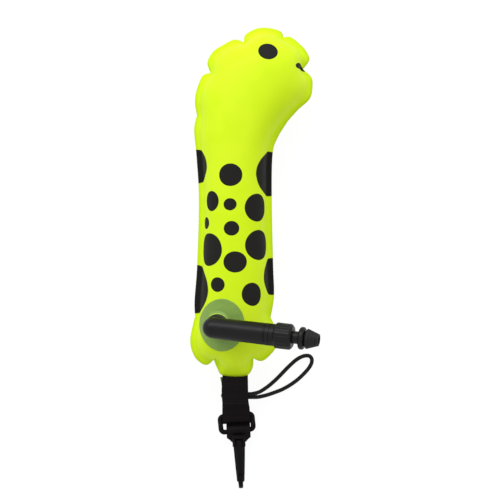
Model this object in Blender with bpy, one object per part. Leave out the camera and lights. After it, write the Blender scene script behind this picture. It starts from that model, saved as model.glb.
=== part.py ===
"""Inflatable dive marker buoy, lying on its back: metres, +Z up, +Y towards its head.

The origin is on the floor under the middle of the bladder's back.
"""

import math

import bmesh
import bpy
from mathutils import Matrix, Vector
from mathutils.geometry import interpolate_bezier

MM = 0.001

# Clearances
GAP = 0.3 * MM  # between pieces that touch
SLIDE_GAP = 0.25 * MM  # between pieces that slide or turn on each other
OVERRUN = 2 * MM  # how far a cutter runs past what it cuts

# Bladder
BLADDER_LENGTH = 349 * MM
BODY_WIDTH = 79 * MM
FOOT_Y = -126.5 * MM
SEAM_Z = 30.5 * MM
FRONT_DEPTH = 31 * MM
BACK_DEPTH = 31.3 * MM
SHEET = 0.8 * MM
WELD_WIDTH = 5.2 * MM
OUTLINE_STEP = 10.5 * MM
ROUNDNESS = 2.2

# Valve patch and its neck. The shares are of the body's width and of the bladder's length.
PATCH_PLACE_SHARES = (-0.171, 0.1504)
PATCH_SIZE_SHARES = (0.557, 0.1476)
PATCH_THICKNESS = 0.8 * MM
NECK_PLACE_SHARES = (-0.2215, 0.1508)
NECK_RADIUS = 6.6 * MM
NECK_BORE = 5.2 * MM
NECK_RISE = 11 * MM
NECK_DROP = 8 * MM
BOSS_RADIUS = 12.2 * MM

# Inflator tube
TUBE_RISE = math.radians(14)
TUBE_SWING = math.radians(6.2)
TUBE_ROLL = math.radians(9)
ELBOW_HEIGHT = 19 * MM
ELBOW_RADIUS = 10.4 * MM
STUB_FOOT_RADIUS = 11.1 * MM
STUB_FOOT_LENGTH = 5 * MM
STUB_LIFT = 1.6 * MM
TUBE_LENGTH = 58 * MM
TUBE_END_RADIUS = 10.9 * MM
TUBE_BORE = 7 * MM

# Valve housing
SPIGOT_LENGTH = 8 * MM
SPIGOT_RADIUS = 8.2 * MM
HOUSING_RING_LENGTH = 5 * MM
NOSE_LENGTH = 15.6 * MM
NOSE_RADIUS = 9.6 * MM
HOUSING_BORE = 6.6 * MM
GUIDE_LENGTH = 5 * MM
GUIDE_RADIUS = 7.7 * MM

# Valve
STEM_RADIUS = 6.2 * MM
STEM_BORE = 3.6 * MM
STEM_WINDOW = 1.6 * MM
ROD_RADIUS = 1.5 * MM
SEAT_LENGTH = 2.5 * MM
SEAT_BORE = 3.2 * MM
SEAL_THICKNESS = 1.2 * MM
POPPET_THICKNESS = 1.8 * MM
POPPET_RADIUS = 5.2 * MM
SPRING_LENGTH = 11.3 * MM
SPRING_RADIUS = 4.3 * MM
SPRING_WIRE = 0.9 * MM
SPRING_TURNS = 6
SPRING_STEPS = 10

# Locking collar, flange and mouthpiece
COLLAR_TRAVEL = 6.3 * MM
COLLAR_RADIUS = 12.7 * MM
COLLAR_WEB = 1.8 * MM
COLLAR_RIBS = 18
RIB_DEPTH = 0.6 * MM
O_RING = 1.3 * MM
O_RING_SIDES = 6
FLANGE_THICKNESS = 5.2 * MM
FLANGE_RADIUS = 11.1 * MM
FLANGE_CHAMFER = 1.2 * MM
MOUTHPIECE_LENGTH = 14 * MM
MOUTHPIECE_RADIUS = 10 * MM
MOUTHPIECE_TIP_RADIUS = 5.7 * MM
MOUTHPIECE_BORE = 4.3 * MM
MOUTHPIECE_RIBS = 3
MOUTHPIECE_GRIP_SHARE = 0.33
LIP_SHARE = 0.14
LIP_RADIUS_SHARE = 0.72
RIB_SHARE = 0.75

# Strap, tab and cord
STRAP_WIDTH = 25 * MM
STRAP_X = -0.5 * MM
PLY = 1.5 * MM
PLY_START = 0.45 * MM
FOLD_SLACK = 4 * MM
FOLD_STEPS = 8
STRAP_STEPS = 24
SLANT_START_SHARE = 0.6
TAB_WIDTH = 26.2 * MM
TAB_X = -1.9 * MM
TAB_LENGTH = 9 * MM
TAB_THICKNESS = 0.9 * MM
TAB_GAP = 0.7 * MM  # from the bladder's rim, so that the tab swings clear of it
TAB_STEPS = 4
CORD_DIAMETER = 4 * MM
CORD_BUMP = 1.6 * MM

# Hook, its ring and its gate
RING_X = -0.3 * MM
RING_Y = -166.8 * MM
RING_Z = 4.5 * MM
RING_TILT = math.radians(6.2)
HOOK_TILT = math.radians(2.6)
HOOK_PITCH = math.radians(4.6)
HOOK_SHIFT = 1 * MM  # how far the hook has slid to the right along the ring
HOOK_PLAY = 0.95 * MM  # round the ring's bar, so that the hook can tilt on it
RING_WIDTH = 37.7 * MM
RING_HEIGHT = 21 * MM
RING_WIRE = 5 * MM
RING_CORNER = 6 * MM
RING_CORNER_STEPS = 4
KNUCKLE_WIDTH = 24 * MM
KNUCKLE_RADIUS = 7.4 * MM
SHOULDER_DEPTH_SHARE = 0.88
EAR_START_SHARE = 0.7
HOOK_LENGTH = 58 * MM
HOOK_DEPTH = 25 * MM
SHANK_WIDTH = 13 * MM
CORNER_SHARE = 0.35
TIP_WIDTH = 4.6 * MM
HOOK_SECTION = 5 * MM
GATE_PIN_RADIUS = 1.1 * MM
GATE_THICKNESS = 3.6 * MM
GATE_WIDTH = 7 * MM
GATE_HEEL = 2.6 * MM
GATE_HEEL_GAP = 1.7 * MM
GATE_TIP_GAP = 0.9 * MM
GATE_PIVOT_SHARES = (0.217, 0.32)  # of the hook's length and depth
LEAF_THICKNESS = 0.5 * MM
LEAF_WIDTH = 4 * MM
BEND_STEPS = 3

# Each stretch of the bladder's outline runs from one notch of its welded rim to the next, clockwise from
# the top of the head: shares of the body's width from the middle, and of the length up from the foot.
OUTLINE_SHARES = (
    ((0.099, 0.958), (0.123, 0.980), (0.284, 0.998), (0.456, 0.997), (0.575, 0.987), (0.599, 0.971)),
    ((0.599, 0.971), (0.687, 0.973), (0.816, 0.951), (0.892, 0.931), (0.929, 0.907), (0.848, 0.880)),
    ((0.848, 0.880), (0.946, 0.860), (0.970, 0.838), (0.937, 0.797), (0.785, 0.764), (0.658, 0.732)),
    (
        (0.658, 0.732),
        (0.527, 0.684),
        (0.463, 0.635),
        (0.453, 0.506),
        (0.470, 0.322),
        (0.481, 0.231),
        (0.438, 0.170),
    ),
    ((0.438, 0.170), (0.506, 0.133), (0.519, 0.090), (0.413, 0.057), (0.316, 0.044), (0.219, 0.052)),
    (
        (0.219, 0.052), (0.213, 0.027), (0.147, 0.004), (0.009, 0),
        (-0.177, 0.004), (-0.238, 0.024), (-0.281, 0.049),
    ),
    ((-0.281, 0.049), (-0.346, 0.035), (-0.424, 0.036), (-0.529, 0.059), (-0.580, 0.105), (-0.519, 0.173)),
    (
        (-0.519, 0.173),
        (-0.524, 0.219),
        (-0.491, 0.322),
        (-0.470, 0.506),
        (-0.499, 0.629),
        (-0.530, 0.706),
        (-0.494, 0.749),
    ),
    ((-0.494, 0.749), (-0.519, 0.781), (-0.505, 0.815), (-0.427, 0.860), (-0.324, 0.870)),
    ((-0.324, 0.870), (-0.362, 0.900), (-0.292, 0.930), (-0.185, 0.947), (-0.025, 0.965), (0.099, 0.958)),
)
# The bladder's middle line, from foot to head: the same two shares, then the share of the full depth there.
SPINE_SHARES = (
    (-0.032, 0.116, 1.04),
    (-0.013, 0.205, 1.02),
    (-0.005, 0.334, 1),
    (-0.009, 0.491, 1),
    (-0.018, 0.620, 1.02),
    (0.019, 0.712, 1.06),
    (0.127, 0.784, 1.12),
    (0.266, 0.835, 1.14),
    (0.367, 0.867, 1.12),
)
# Where the rings of the swelling lie, as angles round its section from the weld to the crest.
FRONT_RING_ANGLES = (0, 14, 31, 50, 68, 84)
BACK_RING_ANGLES = (0, 14, 31, 50, 71)
# How far apart the webbing's plies are along the strap: share of its run, and what lies between them.
PLY_SHARES = (
    (0, "tab"),
    (0.26, "tab"),
    (0.35, "cord"),
    (0.53, "cord"),
    (0.64, "none"),
    (0.72, "none"),
    (0.85, "bar"),
    (1, "bar"),
)
# The hook's bend, from the knuckle round to its nose: shares of its length and of its depth, then of the
# way from its full width to the width of its tip.
HOOK_SHARES = (
    (0.06, -0.04, 0),
    (0.17, -0.17, 0.05),
    (0.30, -0.25, 0.18),
    (0.46, -0.28, 0.29),
    (0.66, -0.28, 0.45),
    (0.82, -0.24, 0.6),
    (0.862, -0.195, 0.65),
    (0.885, -0.16, 1),
    (0.925, -0.08, 1),
    (0.955, 0.1, 1),
    (0.925, 0.3, 1),
    (0.85, 0.41, 0.9),
    (0.77, 0.435, 0.75),
)
# The hook's shoulders, below the knuckle: shares of the knuckle's radius below its axis, of its half width
# less the shank's, and of the shoulders' depth.
SHOULDER_SHARES = (
    (0.1, 0.97, 1),
    (0.95, 0.97, 0.95),
    (1.55, 0, 0.75),
)
# The cord's free loop, in millimetres: out of the strap, down to the floor, round, and back to it.
CORD_ROUTE = (
    (22.7, -143.1, 15),
    (28.4, -140.1, 10.8),
    (33.9, -136.3, 6.9),
    (39.7, -131.4, 4),
    (44.9, -126.3, 2.7),
    (50.6, -120.4, 2.2),
    (55.6, -115.5, 2.1),
    (60.6, -111.2, 2.1),
    (65.4, -108.3, 2.1),
    (69.9, -106.9, 2.1),
    (74, -107.2, 2.1),
    (76.5, -110.3, 2.1),
    (76, -114.9, 2.1),
    (73, -120, 2.1),
    (68.2, -125.4, 2.1),
    (62.2, -131, 2.1),
    (54.9, -136.3, 2.3),
    (47.1, -140.7, 3.1),
    (39, -143.8, 5.4),
    (30.9, -146.3, 9.2),
    (22.7, -147.9, 13),
)

PATCH_SIDES = 32
CORNER_STEPS = 7
ROUND_STEPS = 24
INNER_STEPS = 18
WELD = 0.01 * MM


def clear_scene():
    for obj in list(bpy.data.objects):
        bpy.data.objects.remove(obj)


def material(name, colour, roughness, metallic=0, alpha=1):
    made = bpy.data.materials.new(name)
    made.use_nodes = True
    shader = made.node_tree.nodes["Principled BSDF"]
    shader.inputs["Base Color"].default_value = (*colour, 1)
    shader.inputs["Roughness"].default_value = roughness
    shader.inputs["Metallic"].default_value = metallic
    shader.inputs["Alpha"].default_value = alpha
    return made


def add_object(name, data, colour, parent=None, smooth=True):
    obj = bpy.data.objects.new(name, data)
    bpy.context.scene.collection.objects.link(obj)
    obj.parent = parent
    if colour:
        data.materials.append(colour)
    if smooth and isinstance(data, bpy.types.Mesh):
        data.shade_smooth()
        data.set_sharp_from_angle(angle=math.radians(35))
    return obj


def add_mesh(name, bm, colour, parent=None, smooth=True, closed=True):
    """Makes an object of the bmesh, with its faces pointing out."""
    bmesh.ops.remove_doubles(bm, verts=bm.verts, dist=WELD)
    if closed:
        bmesh.ops.recalc_face_normals(bm, faces=bm.faces)
        if bm.calc_volume(signed=True) < 0:
            bmesh.ops.reverse_faces(bm, faces=bm.faces)
    mesh = bpy.data.meshes.new(name)
    bm.to_mesh(mesh)
    bm.free()
    return add_object(name, mesh, colour, parent, smooth)


def empty(name, matrix, parent=None):
    obj = bpy.data.objects.new(name, None)
    bpy.context.scene.collection.objects.link(obj)
    obj.parent = parent
    obj.matrix_basis = matrix
    return obj


def smooth_path(points, steps=12):
    """Points along a smooth curve through the given ones."""
    points = [Vector(point) for point in points]
    path = []
    for i in range(len(points) - 1):
        start, end = points[i], points[i + 1]
        before, after = points[max(i - 1, 0)], points[min(i + 2, len(points) - 1)]
        handles = start + (end - before) / 6, end - (after - start) / 6
        path += interpolate_bezier(start, *handles, end, steps)[:-1]
    return path + [points[-1]]


def resampled(path, count):
    """The path cut into count equal stretches."""
    lengths = [0]
    for a, b in zip(path, path[1:]):
        lengths.append(lengths[-1] + (b - a).length)
    found, i = [], 0
    for k in range(count + 1):
        wanted = lengths[-1] * k / count
        while i < len(path) - 2 and lengths[i + 1] < wanted:
            i += 1
        share = (wanted - lengths[i]) / (lengths[i + 1] - lengths[i])
        found.append(path[i].lerp(path[i + 1], min(share, 1)))
    return found


def path_length(path):
    return sum((b - a).length for a, b in zip(path, path[1:]))


def boolean(obj, other, operation):
    """Joins the other object to this one, or cuts it out. The other is then only a helper."""
    modifier = obj.modifiers.new(operation.title(), "BOOLEAN")
    modifier.operation = operation
    modifier.solver = "EXACT"
    modifier.object = other
    other.hide_render = True
    other.display_type = "WIRE"


def turned(name, profile, parent, colour, steps=ROUND_STEPS):
    """A round piece about the parent's X axis, from points (along, radius). One that starts and ends at
    radius 0 is solid, and any other is closed on itself, as a ring."""
    bm = bmesh.new()
    verts = [bm.verts.new((along, 0, radius)) for along, radius in profile]
    ends = verts[1:] if profile[0][1] == 0 else verts[1:] + verts[:1]
    edges = [bm.edges.new(pair) for pair in zip(verts, ends)]
    bmesh.ops.spin(
        bm, geom=verts + edges, cent=(0, 0, 0), axis=(1, 0, 0), angle=math.tau, steps=steps, use_merge=True
    )
    return add_mesh(name, bm, colour, parent)


def ring_profile(start, end, outer, inner):
    return (start, inner), (start, outer), (end, outer), (end, inner)


def o_ring(name, place, radius, parent, colour):
    """A rubber ring of the O-ring section, round the parent's X axis."""
    section = [math.tau * k / O_RING_SIDES for k in range(O_RING_SIDES)]
    profile = [(place + O_RING / 2 * math.cos(a), radius + O_RING / 2 * math.sin(a)) for a in section]
    return turned(name, profile, parent, colour, INNER_STEPS)


def loft(name, rings, colour, parent=None):
    """A solid through closed rings of points, each with as many points, and flat ends."""
    bm = bmesh.new()
    rows = [[bm.verts.new(point) for point in ring] for ring in rings]
    for a, b in zip(rows, rows[1:]):
        for i in range(len(a)):
            j = (i + 1) % len(a)
            bm.faces.new((a[i], a[j], b[j], b[i]))
    bm.faces.new(rows[0][::-1])
    bm.faces.new(rows[-1])
    return add_mesh(name, bm, colour, parent)


def tube(name, points, diameter, colour, parent=None, resolution=2, cyclic=False):
    """A round bar along points, with filled ends."""
    data = bpy.data.curves.new(name, "CURVE")
    data.dimensions = "3D"
    data.bevel_depth = diameter / 2
    data.bevel_resolution = resolution
    data.use_fill_caps = not cyclic
    spline = data.splines.new("POLY")
    spline.points.add(len(points) - 1)
    for place, point in zip(spline.points, points):
        place.co = (*point, 1)
    spline.use_cyclic_u = cyclic
    return add_object(name, data, colour, parent)


def on_bladder(shares):
    """The place in the seam plane of a pair of outline shares."""
    return Vector((shares[0] * BODY_WIDTH, FOOT_Y + shares[1] * BLADDER_LENGTH))


def bladder_outline():
    outline = []
    for stretch in OUTLINE_SHARES:
        path = smooth_path([on_bladder(shares) for shares in stretch])
        outline += resampled(path, max(3, round(path_length(path) / OUTLINE_STEP)))[:-1]
    return outline


def bladder_spine():
    """Points of the middle line, each with its share of the depth as third coordinate."""
    return smooth_path([(*on_bladder(shares), shares[2]) for shares in SPINE_SHARES])


def bladder_sheet(name, side, depth, angles, colour, thickness=-SHEET, lift=0):
    """One welded sheet: a flat rim, then rings that rise to the crest. Side is 1 in front, -1 behind."""
    weld_z = SEAM_Z + side * (GAP / 2 + SHEET)
    spine = bladder_spine()
    bm = bmesh.new()
    columns = []
    for rim in bladder_outline():
        foot = min(spine, key=lambda point: (point.to_2d() - rim).length)
        inward = (foot.to_2d() - rim).normalized()
        weld = rim + inward * WELD_WIDTH
        column = [bm.verts.new((*rim, weld_z))]
        for angle in angles:
            across = math.cos(math.radians(angle)) ** (2 / ROUNDNESS)
            up = math.sin(math.radians(angle)) ** (2 / ROUNDNESS)
            place = foot.to_2d().lerp(weld, across)
            height = weld_z + side * depth * foot.z * up
            column.append(bm.verts.new((*place, max(height, 0))))
        columns.append(column)
    for a, b in zip(columns, columns[1:] + columns[:1]):
        for i in range(len(a) - 1):
            corners = (a[i], b[i], b[i + 1], a[i + 1])
            bm.faces.new(corners if side < 0 else corners[::-1])
    crest = [column[-1] for column in columns]
    bm.faces.new(crest if side < 0 else crest[::-1])
    bmesh.ops.triangulate(bm, faces=bm.faces)
    sheet = add_mesh(name, bm, colour, closed=False)
    raised = sheet.modifiers.new("Lift", "DISPLACE")
    raised.strength = lift
    raised.mid_level = 0
    solidify = sheet.modifiers.new("Sheet", "SOLIDIFY")
    solidify.thickness = thickness
    solidify.offset = 1
    return sheet


def surface_height(obj, x, y):
    """How high the object's top face lies at a place."""
    bpy.context.view_layer.update()
    seen = obj.evaluated_get(bpy.context.evaluated_depsgraph_get())
    found, place, _, _ = seen.ray_cast(Vector((x, y, BLADDER_LENGTH)), Vector((0, 0, -1)))
    return place.z if found else SEAM_Z


def valve_axes(front):
    """An empty on the bladder under the elbow, its Z up the elbow's stub, and one in the elbow, its X
    along the tube."""
    along = Vector(
        (
            math.cos(TUBE_RISE) * math.cos(TUBE_SWING),
            -math.cos(TUBE_RISE) * math.sin(TUBE_SWING),
            math.sin(TUBE_RISE),
        )
    )
    up = Vector((0, 0, 1))
    up = (up - along * up.dot(along)).normalized()
    up.rotate(Matrix.Rotation(TUBE_ROLL, 3, along))
    turn = Matrix((along, up.cross(along), up)).transposed().to_4x4()
    foot = on_bladder(NECK_PLACE_SHARES).to_3d()
    foot.z = surface_height(front, foot.x, foot.y)
    stub_axis = empty("stub_axis", Matrix.Translation(foot) @ turn)
    tube_axis = empty("tube_axis", Matrix.Translation((0, 0, ELBOW_HEIGHT)), stub_axis)
    return stub_axis, tube_axis


def upright(name, low, high, radius, parent, colour=None):
    """A plain round bar up the parent's Z axis."""
    bm = bmesh.new()
    turn = Matrix.Translation((0, 0, (low + high) / 2))
    bmesh.ops.create_cone(
        bm,
        cap_ends=True,
        segments=ROUND_STEPS,
        radius1=radius,
        radius2=radius,
        depth=high - low,
        matrix=turn,
    )
    return add_mesh(name, bm, colour, parent)


def valve_patch(stub_axis, colour):
    """The soft disc welded over the bladder's front sheet, and the neck that stands in it."""
    patch = bladder_sheet(
        "valve_flange", 1, FRONT_DEPTH, FRONT_RING_ANGLES, colour, thickness=PATCH_THICKNESS, lift=GAP
    )
    bm = bmesh.new()
    width, height = PATCH_SIZE_SHARES[0] * BODY_WIDTH, PATCH_SIZE_SHARES[1] * BLADDER_LENGTH
    place = on_bladder(PATCH_PLACE_SHARES).to_3d()
    place.z = SEAM_Z + BLADDER_LENGTH / 2
    bmesh.ops.create_cone(
        bm,
        cap_ends=True,
        segments=PATCH_SIDES,
        radius1=1,
        radius2=1,
        depth=BLADDER_LENGTH,
        matrix=Matrix.Translation(place) @ Matrix.Diagonal((width / 2, height / 2, 1, 1)),
    )
    boolean(patch, add_mesh("patch_shape", bm, None), "INTERSECT")
    boss = upright("boss_shape", -NECK_DROP, STUB_LIFT, BOSS_RADIUS, stub_axis)
    boolean(patch, boss, "UNION")
    room = upright("stub_room_cutter", STUB_LIFT - GAP, NECK_RISE, STUB_FOOT_RADIUS + GAP, stub_axis)
    boolean(patch, room, "DIFFERENCE")
    neck = upright("neck_shape", -NECK_DROP / 2, NECK_RISE, NECK_RADIUS, stub_axis)
    boolean(patch, neck, "UNION")
    bore = upright("neck_bore_cutter", -NECK_DROP - OVERRUN, NECK_RISE + OVERRUN, NECK_BORE, stub_axis)
    boolean(patch, bore, "DIFFERENCE")
    return patch


def inflator_tube(tube_axis, colour):
    """Elbow and tube in one moulding, with the air path cut through."""
    stub_foot = STUB_LIFT - ELBOW_HEIGHT
    corner = [math.pi / 2 * k / CORNER_STEPS for k in range(1, CORNER_STEPS + 1)]
    profile = [(-ELBOW_RADIUS, 0)]
    profile += [(-ELBOW_RADIUS * math.cos(a), ELBOW_RADIUS * math.sin(a)) for a in corner]
    profile += [(TUBE_LENGTH, TUBE_END_RADIUS), (TUBE_LENGTH, 0)]
    obj = turned("inflator_tube", profile, tube_axis, colour)
    shaft_radius = ELBOW_RADIUS - SLIDE_GAP
    shaft = turned(
        "elbow_stub_shape",
        (
            (stub_foot, 0),
            (stub_foot, STUB_FOOT_RADIUS),
            (stub_foot + STUB_FOOT_LENGTH, STUB_FOOT_RADIUS),
            (stub_foot + STUB_FOOT_LENGTH, shaft_radius),
            (-GAP, shaft_radius),
            (-GAP, 0),
        ),
        tube_axis,
        None,
    )
    shaft.data.transform(Matrix.Rotation(-math.pi / 2, 4, "Y"))
    boolean(obj, shaft, "UNION")
    cutter = turned(
        "tube_bore_cutter",
        (
            (-TUBE_BORE / 2, 0),
            (-TUBE_BORE / 2, TUBE_BORE),
            (TUBE_LENGTH - SPIGOT_LENGTH - GAP, TUBE_BORE),
            (TUBE_LENGTH - SPIGOT_LENGTH - GAP, SPIGOT_RADIUS + GAP),
            (TUBE_LENGTH + OVERRUN, SPIGOT_RADIUS + GAP),
            (TUBE_LENGTH + OVERRUN, 0),
        ),
        tube_axis,
        None,
    )
    boolean(obj, cutter, "DIFFERENCE")
    socket_top = NECK_RISE - ELBOW_HEIGHT + GAP
    socket_radius = NECK_RADIUS + O_RING + 2 * GAP
    socket = turned(
        "neck_socket_cutter",
        (
            (stub_foot - OVERRUN, 0),
            (stub_foot - OVERRUN, socket_radius),
            (socket_top, socket_radius),
            (socket_top, NECK_BORE),
            (GAP, NECK_BORE),
            (GAP, 0),
        ),
        tube_axis,
        None,
    )
    socket.data.transform(Matrix.Rotation(-math.pi / 2, 4, "Y"))
    boolean(obj, socket, "DIFFERENCE")
    return obj


def valve_pieces(tube_axis, plastic, rubber, steel):
    """Everything along the tube's axis past the tube itself, from its far end to the mouthpiece's tip."""
    housing_start = TUBE_LENGTH - SPIGOT_LENGTH
    ring_start = TUBE_LENGTH + GAP
    ring_end = TUBE_LENGTH + HOUSING_RING_LENGTH
    nose_end = ring_end + NOSE_LENGTH
    guide_start = nose_end - GUIDE_LENGTH
    turned(
        "valve_housing",
        (
            (housing_start, HOUSING_BORE),
            (housing_start, SPIGOT_RADIUS),
            (ring_start, SPIGOT_RADIUS),
            (ring_start, TUBE_END_RADIUS),
            (ring_end, TUBE_END_RADIUS),
            (ring_end, NOSE_RADIUS),
            (nose_end, NOSE_RADIUS),
            (nose_end, GUIDE_RADIUS + GAP),
            (guide_start - GAP, GUIDE_RADIUS + GAP),
            (guide_start - GAP, HOUSING_BORE),
        ),
        tube_axis,
        plastic,
    )
    seat_start = housing_start + GAP
    seat_end = seat_start + SEAT_LENGTH
    seat = ring_profile(seat_start, seat_end, HOUSING_BORE - GAP, SEAT_BORE)
    turned("valve_seat", seat, tube_axis, plastic)
    guide = ring_profile(guide_start, nose_end, GUIDE_RADIUS, STEM_RADIUS + SLIDE_GAP)
    turned("stem_guide", guide, tube_axis, plastic)

    seal_end = seat_start - GAP
    seal_start = seal_end - SEAL_THICKNESS
    poppet_end = seal_start - GAP
    poppet_start = poppet_end - POPPET_THICKNESS
    hole = ROD_RADIUS + GAP
    seal = ring_profile(seal_start, seal_end, POPPET_RADIUS, hole)
    turned("poppet_seal", seal, tube_axis, rubber, INNER_STEPS)
    poppet = ring_profile(poppet_start, poppet_end, POPPET_RADIUS, hole)
    turned("valve_poppet", poppet, tube_axis, plastic, INNER_STEPS)

    collar_start = ring_end + GAP
    web_start = nose_end + 2 * GAP
    collar_end = web_start + COLLAR_WEB
    flange_start = collar_end + COLLAR_TRAVEL + GAP
    flange_end = flange_start + FLANGE_THICKNESS
    mouth_start = flange_end + GAP
    mouth_end = mouth_start + MOUTHPIECE_LENGTH
    stem_end = mouth_start + MOUTHPIECE_LENGTH * MOUTHPIECE_GRIP_SHARE

    plug_start = seat_end + SPRING_LENGTH + 2 * GAP
    plug_end = plug_start + 2 * ROD_RADIUS
    stem = turned(
        "valve_stem",
        (
            (poppet_start, 0),
            (poppet_start, ROD_RADIUS),
            (plug_start, ROD_RADIUS),
            (plug_start, STEM_RADIUS),
            (stem_end, STEM_RADIUS),
            (stem_end, STEM_BORE),
            (plug_end, STEM_BORE),
            (plug_end, 0),
        ),
        tube_axis,
        plastic,
    )
    reach = STEM_RADIUS + OVERRUN
    window = upright("stem_window_cutter", -reach, reach, STEM_WINDOW, tube_axis)
    window.location.x = plug_end + STEM_WINDOW + GAP
    boolean(stem, window, "DIFFERENCE")

    spring_start = seat_end + GAP + SPRING_WIRE / 2
    pitch = (SPRING_LENGTH - SPRING_WIRE) / SPRING_TURNS
    coil = []
    for k in range(SPRING_TURNS * SPRING_STEPS + 1):
        angle = math.tau * k / SPRING_STEPS
        along = spring_start + pitch * k / SPRING_STEPS
        coil.append((along, SPRING_RADIUS * math.cos(angle), SPRING_RADIUS * math.sin(angle)))
    tube("return_spring", coil, SPRING_WIRE, steel, tube_axis, resolution=1)
    print("return_spring: the gap between its turns is", round((pitch - SPRING_WIRE) / MM, 2), "mm")

    groove_radius = NOSE_RADIUS + 2 * SLIDE_GAP + O_RING
    groove_middle = collar_start + O_RING * 3
    groove_half = O_RING / 2 + SLIDE_GAP
    collar_bore = NOSE_RADIUS + SLIDE_GAP
    collar = turned(
        "locking_collar",
        (
            (collar_start, collar_bore),
            (collar_start, COLLAR_RADIUS - 2 * RIB_DEPTH),
            (collar_start + RIB_DEPTH, COLLAR_RADIUS - RIB_DEPTH),
            (collar_start + 2 * RIB_DEPTH, COLLAR_RADIUS),
            (collar_end - 3 * RIB_DEPTH, COLLAR_RADIUS),
            (collar_end - 2 * RIB_DEPTH, COLLAR_RADIUS - RIB_DEPTH),
            (collar_end, COLLAR_RADIUS - 4 * RIB_DEPTH),
            (collar_end, STEM_RADIUS + GAP),
            (web_start, STEM_RADIUS + GAP),
            (web_start, collar_bore),
            (groove_middle + groove_half, collar_bore),
            (groove_middle + groove_half, groove_radius),
            (groove_middle - groove_half, groove_radius),
            (groove_middle - groove_half, collar_bore),
        ),
        tube_axis,
        plastic,
        steps=2 * COLLAR_RIBS,
    )
    for vertex in collar.data.vertices:
        radius = math.hypot(vertex.co.y, vertex.co.z)
        step = round(math.atan2(vertex.co.z, vertex.co.y) / math.tau * 2 * COLLAR_RIBS)
        if radius > COLLAR_RADIUS - RIB_DEPTH / 2 and step % 2:
            vertex.co.yz *= (COLLAR_RADIUS - RIB_DEPTH) / COLLAR_RADIUS
    o_ring("collar_o_ring", groove_middle, NOSE_RADIUS + SLIDE_GAP + O_RING / 2, tube_axis, rubber)

    stem_bore = STEM_RADIUS + GAP
    turned(
        "stem_flange",
        (
            (flange_start, stem_bore),
            (flange_start, FLANGE_RADIUS - FLANGE_CHAMFER),
            (flange_start + FLANGE_CHAMFER, FLANGE_RADIUS),
            (flange_end - FLANGE_CHAMFER, FLANGE_RADIUS),
            (flange_end, FLANGE_RADIUS - FLANGE_CHAMFER),
            (flange_end, stem_bore),
        ),
        tube_axis,
        plastic,
    )

    cone = [(mouth_start, stem_bore), (mouth_start, MOUTHPIECE_RADIUS * LIP_RADIUS_SHARE)]
    cone_start = mouth_start + MOUTHPIECE_LENGTH * LIP_SHARE
    rib = (mouth_end - cone_start) / (MOUTHPIECE_RIBS + 1)
    for k in range(MOUTHPIECE_RIBS + 1):
        share = k / (MOUTHPIECE_RIBS + 1)
        radius = MOUTHPIECE_RADIUS + (MOUTHPIECE_TIP_RADIUS - MOUTHPIECE_RADIUS) * share
        cone.append((cone_start + rib * k, radius))
        cone.append((cone_start + rib * (k + RIB_SHARE), radius - RIB_DEPTH))
    cone += [
        (mouth_end, MOUTHPIECE_TIP_RADIUS - RIB_DEPTH),
        (mouth_end, MOUTHPIECE_BORE),
        (stem_end + GAP, MOUTHPIECE_BORE),
        (stem_end + GAP, stem_bore),
    ]
    turned("mouthpiece", cone, tube_axis, rubber)


def ring_half_height():
    return (RING_HEIGHT - RING_WIRE) / 2


def strap_middle(y):
    """The middle between the plies at a place along the strap, which sinks from the seam to the ring."""
    share = min(max((FOOT_Y - y) / (FOOT_Y - RING_Y), 0), 1)
    eased = (share + share * share * (3 - 2 * share)) / 2
    return Vector((0, y, SEAM_Z + (RING_Z - SEAM_Z) * eased))


def strap_direction(y):
    return (strap_middle(y - PLY) - strap_middle(y + PLY)).normalized()


def strap_ends():
    return FOOT_Y - PLY_START, RING_Y - FOLD_SLACK


def strap_y(share):
    start, end = strap_ends()
    return start + (end - start) * share


def ply_offset(share):
    """From the strap's middle to the middle of a ply."""
    between = {"tab": 2 * TAB_THICKNESS, "cord": CORD_DIAMETER, "none": 0, "bar": RING_WIRE}
    for (a, first), (b, second) in zip(PLY_SHARES, PLY_SHARES[1:]):
        if a <= share <= b:
            low, high = between[first], between[second]
            s = (share - a) / (b - a)
            return (low + (high - low) * s * s * (3 - 2 * s)) / 2 + GAP + PLY / 2
    return 0


def foot_slant(share):
    """The slope across the webbing, which turns at its foot to lie along the hook."""
    s = min(max((share - SLANT_START_SHARE) / (1 - SLANT_START_SHARE), 0), 1)
    return math.tan(HOOK_TILT) * s * s * (3 - 2 * s)


def webbing_strap(colour):
    """One length of webbing, from the foot of the bladder down, round the ring's bar and back up."""
    front, back, slants = [], [], []
    for k in range(STRAP_STEPS + 1):
        share = k / STRAP_STEPS
        slants.append(foot_slant(share))
        y = strap_y(share)
        across = strap_direction(y).cross(Vector((1, 0, 0)))
        offset = across * ply_offset(share)
        middle = strap_middle(y)
        front.append(middle - offset)
        back.append(middle + offset)
    fold = strap_middle(strap_y(1))
    radius = (front[-1] - back[-1]).length / 2
    side = (front[-1] - back[-1]).normalized()
    onward = strap_direction(strap_y(1))
    turn = [math.pi * k / FOLD_STEPS for k in range(1, FOLD_STEPS)]
    bend = [fold + (side * math.cos(a) + onward * math.sin(a)) * radius for a in turn]
    path = front + bend + back[::-1]
    slants = slants + [slants[-1]] * len(bend) + slants[::-1]
    bm = bmesh.new()
    rows = []
    for point, slant in zip(path, slants):
        left = (STRAP_X - STRAP_WIDTH / 2, point.y - slant * STRAP_WIDTH / 2, point.z)
        right = (STRAP_X + STRAP_WIDTH / 2, point.y + slant * STRAP_WIDTH / 2, point.z)
        rows.append((bm.verts.new(left), bm.verts.new(right)))
    for (a, b), (c, d) in zip(rows, rows[1:]):
        bm.faces.new((a, c, d, b))
    strap = add_mesh("webbing_strap", bm, colour, closed=False)
    solidify = strap.modifiers.new("Ply", "SOLIDIFY")
    solidify.thickness = PLY
    solidify.offset = 0
    return strap


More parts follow.
